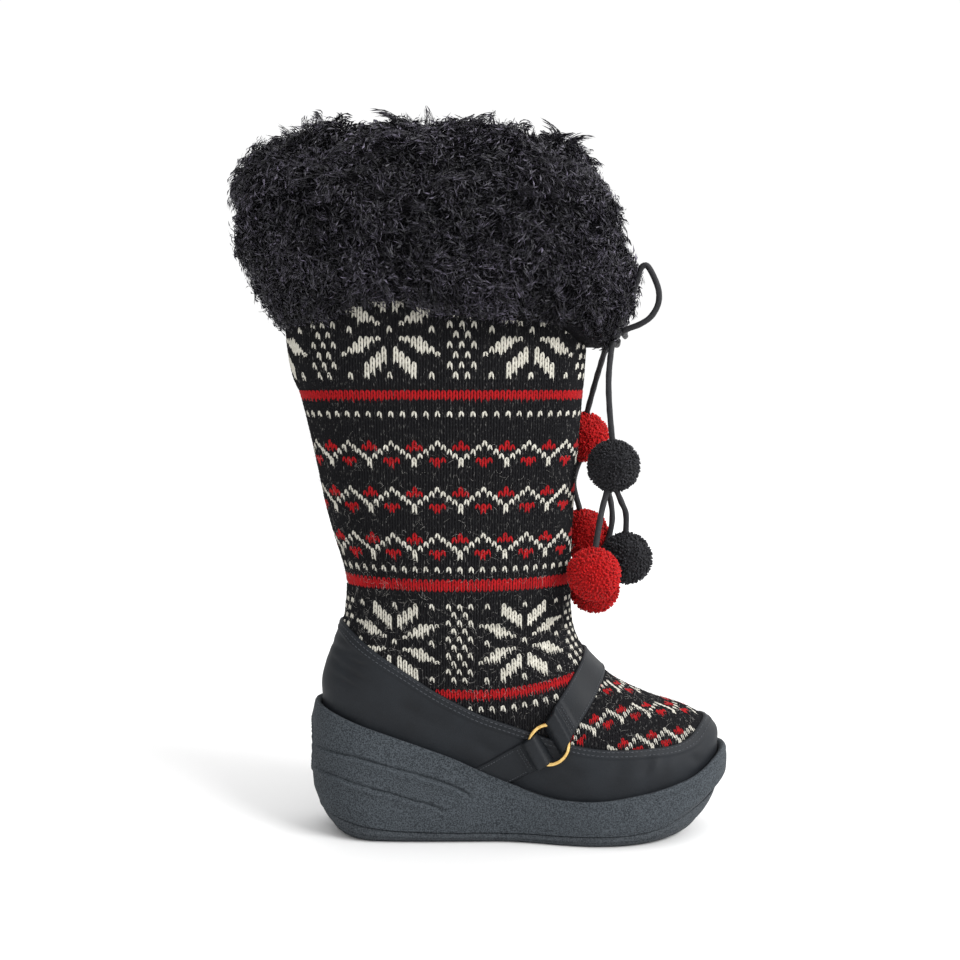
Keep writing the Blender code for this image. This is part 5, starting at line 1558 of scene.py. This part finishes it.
def pile_paths(cuff):
    """Short matted wool that lies in every direction."""
    column, part = spread(cuff, PILE_STRANDS, 0.02, 0.97)
    surface_point = cuff.at(column, part)
    out, down = cuff.frame(column, part)
    hem = np.clip(part / 0.10, 0.15, 1.0)
    root = surface_point + out * ((swell(surface_point) - ROOT_DEPTH * 0.85) * hem)[:, None]
    across = np.cross(out, down)
    flow = lumps(surface_point, 0.040, 21) * 1.5 + lumps(surface_point, 0.012, 22) * 0.9
    flow = flow + dice.normal(0, 0.75, PILE_STRANDS)
    flow = flow * (0.35 + 0.65 * ease(part / 0.15))
    lie = down * np.cos(flow)[:, None] + across * np.sin(flow)[:, None]
    length = dice.uniform(0.0080, 0.0160, PILE_STRANDS) * (0.7 + 0.3 * hem)
    start = dice.uniform(0.0, 0.7, PILE_STRANDS)
    paths = swept(root, out, lie, length, start, dice.uniform(1.5, 2.5, PILE_STRANDS),
                  dice.normal(0, 1.7, PILE_STRANDS))
    paths = crimp(paths, out, dice.uniform(0.0004, 0.0011, PILE_STRANDS),
                  dice.uniform(0.9, 1.9, PILE_STRANDS))
    # Painted shade: strands rooted in the valleys between the lumps get a darker tint
    painted_valley_shade = np.clip(0.5 + 0.5 * swell(surface_point) / 0.0030, 0, 1)
    tint = np.clip(0.02 + 0.66 * painted_valley_shade + dice.normal(0, 0.24, PILE_STRANDS), 0, 1)
    return paths, out, tint


def lock_paths(cuff):
    """Curly locks that stand out of the pile and make its ragged outline."""
    seed_column, seed_part = spread(cuff, LOCKS, 0.03, 0.95)
    seed_point = cuff.at(seed_column, seed_part)
    seed_out, seed_down = cuff.frame(seed_column, seed_part)
    hem = ease(seed_part / 0.13)
    crest = ease((seed_part - 0.50) / 0.16) * ease((0.92 - seed_part) / 0.12)
    flow = lumps(seed_point, 0.055, 31) * 0.9 + dice.normal(0, 0.6 + 0.7 * crest, LOCKS)
    flow = flow * (0.4 + 0.6 * hem)
    across = np.cross(seed_out, seed_down)
    seed_lie = seed_down * np.cos(flow)[:, None] + across * np.sin(flow)[:, None]
    seed_length = dice.uniform(0.010, 0.0165, LOCKS) * (0.75 + 0.25 * hem) * (1 + 0.35 * crest)
    seed_start = dice.uniform(0.0, 0.5, LOCKS)
    seed_finish = dice.uniform(1.4, 2.5, LOCKS)
    seed_twist = dice.normal(0, 1.2, LOCKS)
    column, part = spread(cuff, LOCK_STRANDS, 0.02, 0.96)
    point = cuff.at(column, part)
    lock = np.empty(LOCK_STRANDS, dtype=int)
    for begin in range(0, LOCK_STRANDS, NEAR_BLOCK):
        block = point[begin:begin + NEAR_BLOCK]
        apart = ((block[:, None, :] - seed_point[None]) ** 2).sum(axis=2)
        lock[begin:begin + NEAR_BLOCK] = apart.argmin(axis=1)
    out = seed_out[lock]
    sunk = (swell(point) - ROOT_DEPTH * 0.75) * np.clip(part / 0.10, 0.15, 1.0)
    root = point + out * sunk[:, None]
    length = seed_length[lock] * dice.uniform(0.65, 1.15, LOCK_STRANDS)
    paths = swept(root, out, seed_lie[lock], length, seed_start[lock], seed_finish[lock], seed_twist[lock])
    t = np.linspace(0, 1, STRAND_STEPS)[None, :, None]
    offset = point - seed_point[lock]
    paths = paths - offset[:, None, :] * t ** 0.8 * dice.uniform(0.55, 0.95, (LOCK_STRANDS, 1, 1))
    paths = crimp(paths, out, dice.uniform(0.0003, 0.0009, LOCK_STRANDS),
                  dice.uniform(0.7, 1.6, LOCK_STRANDS))
    patch = lumps(seed_point, 0.05, 5)[lock]
    tint = np.clip(0.42 + 0.3 * patch + dice.normal(0, 0.22, LOCK_STRANDS), 0, 1)
    return paths, out, tint


def strand_mesh(name, paths, outs, shades, finish, width=STRAND_WIDTH):
    """Fine strands: one strip of triangles each, whose corners change sides along the path."""
    count, steps = paths.shape[:2]
    way = unit(np.gradient(paths, axis=1))
    side = unit(np.cross(way, outs[:, None, :]))
    up = np.cross(side, way)
    roll = dice.uniform(-0.9, 0.9, (count, 1, 1))
    side = side * np.cos(roll) + up * np.sin(roll)
    profile = np.interp(np.linspace(0, 1, steps), [0, 0.2, 0.75, 1.0], [0.8, 1.0, 0.8, 0.0])
    profile = profile * (-1.0) ** np.arange(steps)
    half = width / 2 * profile[None, :, None] * dice.uniform(0.8, 1.25, (count, 1, 1))
    block = paths + side * half
    step = np.arange(steps - 2)
    even = step % 2 == 0
    strip = np.stack([step, np.where(even, step + 1, step + 2), np.where(even, step + 2, step + 1)], axis=1)
    faces = strip[None] + (np.arange(count) * steps)[:, None, None]
    piece = make_object(name, block.reshape(-1, 3), faces.reshape(-1, 3), finish)
    depth = np.tile(np.linspace(0, 1, steps), count).astype(np.float32)
    tint = np.repeat(shades, steps).astype(np.float32)
    for label, values in (("depth", depth), ("tint", tint)):
        piece.data.attributes.new(label, "FLOAT", "POINT").data.foreach_set("value", values)
    return piece


def make_fur(surface, finishes):
    cuff = Cuff(surface)
    fur_skin(cuff, finishes)
    paths, outs, shades = (np.concatenate(pair) for pair in zip(pile_paths(cuff), lock_paths(cuff)))
    order = np.argsort(paths[:, 0, 2])
    for label, part in zip(("low", "middle", "high"), np.array_split(order, 3)):
        piece = strand_mesh(f"fur_{label}", paths[part], outs[part], shades[part], finishes["strands"])


def make_hairs(surface, finishes):
    """Stray pale hairs that stand off the knit."""
    count = STRAY_HAIRS
    column = dice.uniform(0, TURNS, count)
    rise = dice.uniform(FOOT_RISES, RISES - FOOT_RISES, count)
    point = surface.grid(rise, column, np.full(count, 0.0006))
    side = strap_side(point[:, 0], point[:, 2])
    keep = (point[:, 2] > foxing_top(point[:, 0]) + 0.002) & (point[:, 2] < 0.33)
    keep &= np.abs(side) > STRAP_WIDTH / 2 + 0.001
    out = surface.out(rise, column)[keep]
    point = point[keep]
    lie = unit(np.cross(out, dice.normal(0, 1, out.shape)))
    total = len(point)
    paths = swept(point, out, lie, dice.uniform(0.0025, 0.0070, total), dice.uniform(0.9, 1.3, total),
                  dice.uniform(1.35, 1.7, total), dice.normal(0, 1.4, total))
    piece = strand_mesh("knit_hairs", paths, out, np.full(total, 0.5), finishes["hair"], HAIR_WIDTH)


# Floor and light

FLOOR_HALF = 3.0
FLOOR_DROP = 0.0002
SURROUND = ((0.06, 0.20), (0.27, 0.64), (0.73, 0.64), (0.95, 1.0))     # place from left to right, tone
SURROUND_STRENGTH = 1.6
SUN_FROM = (1.5, -1.1, 1.3)
SUN_ENERGY = 2.9
SUN_ANGLE = 0.45
PANEL_SIZE = 1.2
PANELS = (("fill", (-1.3, -1.3, 0.9), 3), ("top", (0.3, 0.1, 1.9), 8), ("back", (1.2, 1.3, 1.0), 6))
PANEL_AIM = (0, 0, 0.18)


def hang_lamp(data, aim):
    lamp = bpy.data.objects.new(data.name, data)
    lamp.rotation_euler = aim.to_track_quat("-Z", "Y").to_euler()
    bpy.context.scene.collection.objects.link(lamp)
    return lamp


def make_stage():
    """Pale floor, pale surroundings and soft studio light."""
    corners = [(-FLOOR_HALF, -FLOOR_HALF), (FLOOR_HALF, -FLOOR_HALF), (FLOOR_HALF, FLOOR_HALF),
               (-FLOOR_HALF, FLOOR_HALF)]
    pale = Finish("studio_floor", 0.7)
    pale.colour(pale.ramp(pale.noise(6.0), (0.3, 0.80), (0.7, 0.82)))
    floor = make_object("studio_floor", [(x, y, -FLOOR_DROP) for x, y in corners], [(0, 1, 2, 3)],
                        pale.material, body=None, smooth=False)
    world = bpy.data.worlds.new("studio")
    world.use_nodes = True
    # White all round, with a brighter right and a darker left for the shape of the sides
    nodes, links = world.node_tree.nodes, world.node_tree.links
    split = nodes.new("ShaderNodeSeparateXYZ")
    links.new(nodes.new("ShaderNodeTexCoord").outputs["Generated"], split.inputs["Vector"])
    spread_out = nodes.new("ShaderNodeMapRange")
    links.new(split.outputs["X"], spread_out.inputs["Value"])
    spread_out.inputs["From Min"].default_value = -1.0
    tone = nodes.new("ShaderNodeValToRGB")
    links.new(spread_out.outputs["Result"], tone.inputs["Fac"])
    steps = tone.color_ramp.elements
    for place, value in SURROUND:
        step = steps.new(place)
        step.color = (value, value, value, 1)
    steps.remove(steps[0])
    steps.remove(steps[-1])
    links.new(tone.outputs["Color"], nodes["Background"].inputs["Color"])
    nodes["Background"].inputs["Strength"].default_value = SURROUND_STRENGTH
    bpy.context.scene.world = world
    sun = bpy.data.lights.new("key", "SUN")
    sun.energy = SUN_ENERGY
    sun.angle = SUN_ANGLE
    hang_lamp(sun, -Vector(SUN_FROM))
    for name, place, power in PANELS:
        data = bpy.data.lights.new(name, "AREA")
        data.size = PANEL_SIZE
        data.energy = power
        hang_lamp(data, Vector(PANEL_AIM) - Vector(place)).location = place
    bpy.context.scene.view_settings.view_transform = "Standard"


def main():
    make_camera()
    finishes = make_finishes()
    make_cords(finishes)
    surface = Surface()
    make_knit(surface, finishes)
    make_midsole(surface, finishes)
    make_outsole(finishes)
    make_foxing(surface, finishes)
    make_strap(surface, finishes, "strap_over_instep", "instep_strap", STRAP_TO, 120, True)
    make_strap(surface, finishes, "strap_at_side", "strap_tab", TAB_TO, 60, False)
    make_ring(finishes)
    make_insole(finishes)
    make_fur(surface, finishes)
    make_hairs(surface, finishes)
    make_stage()


main()
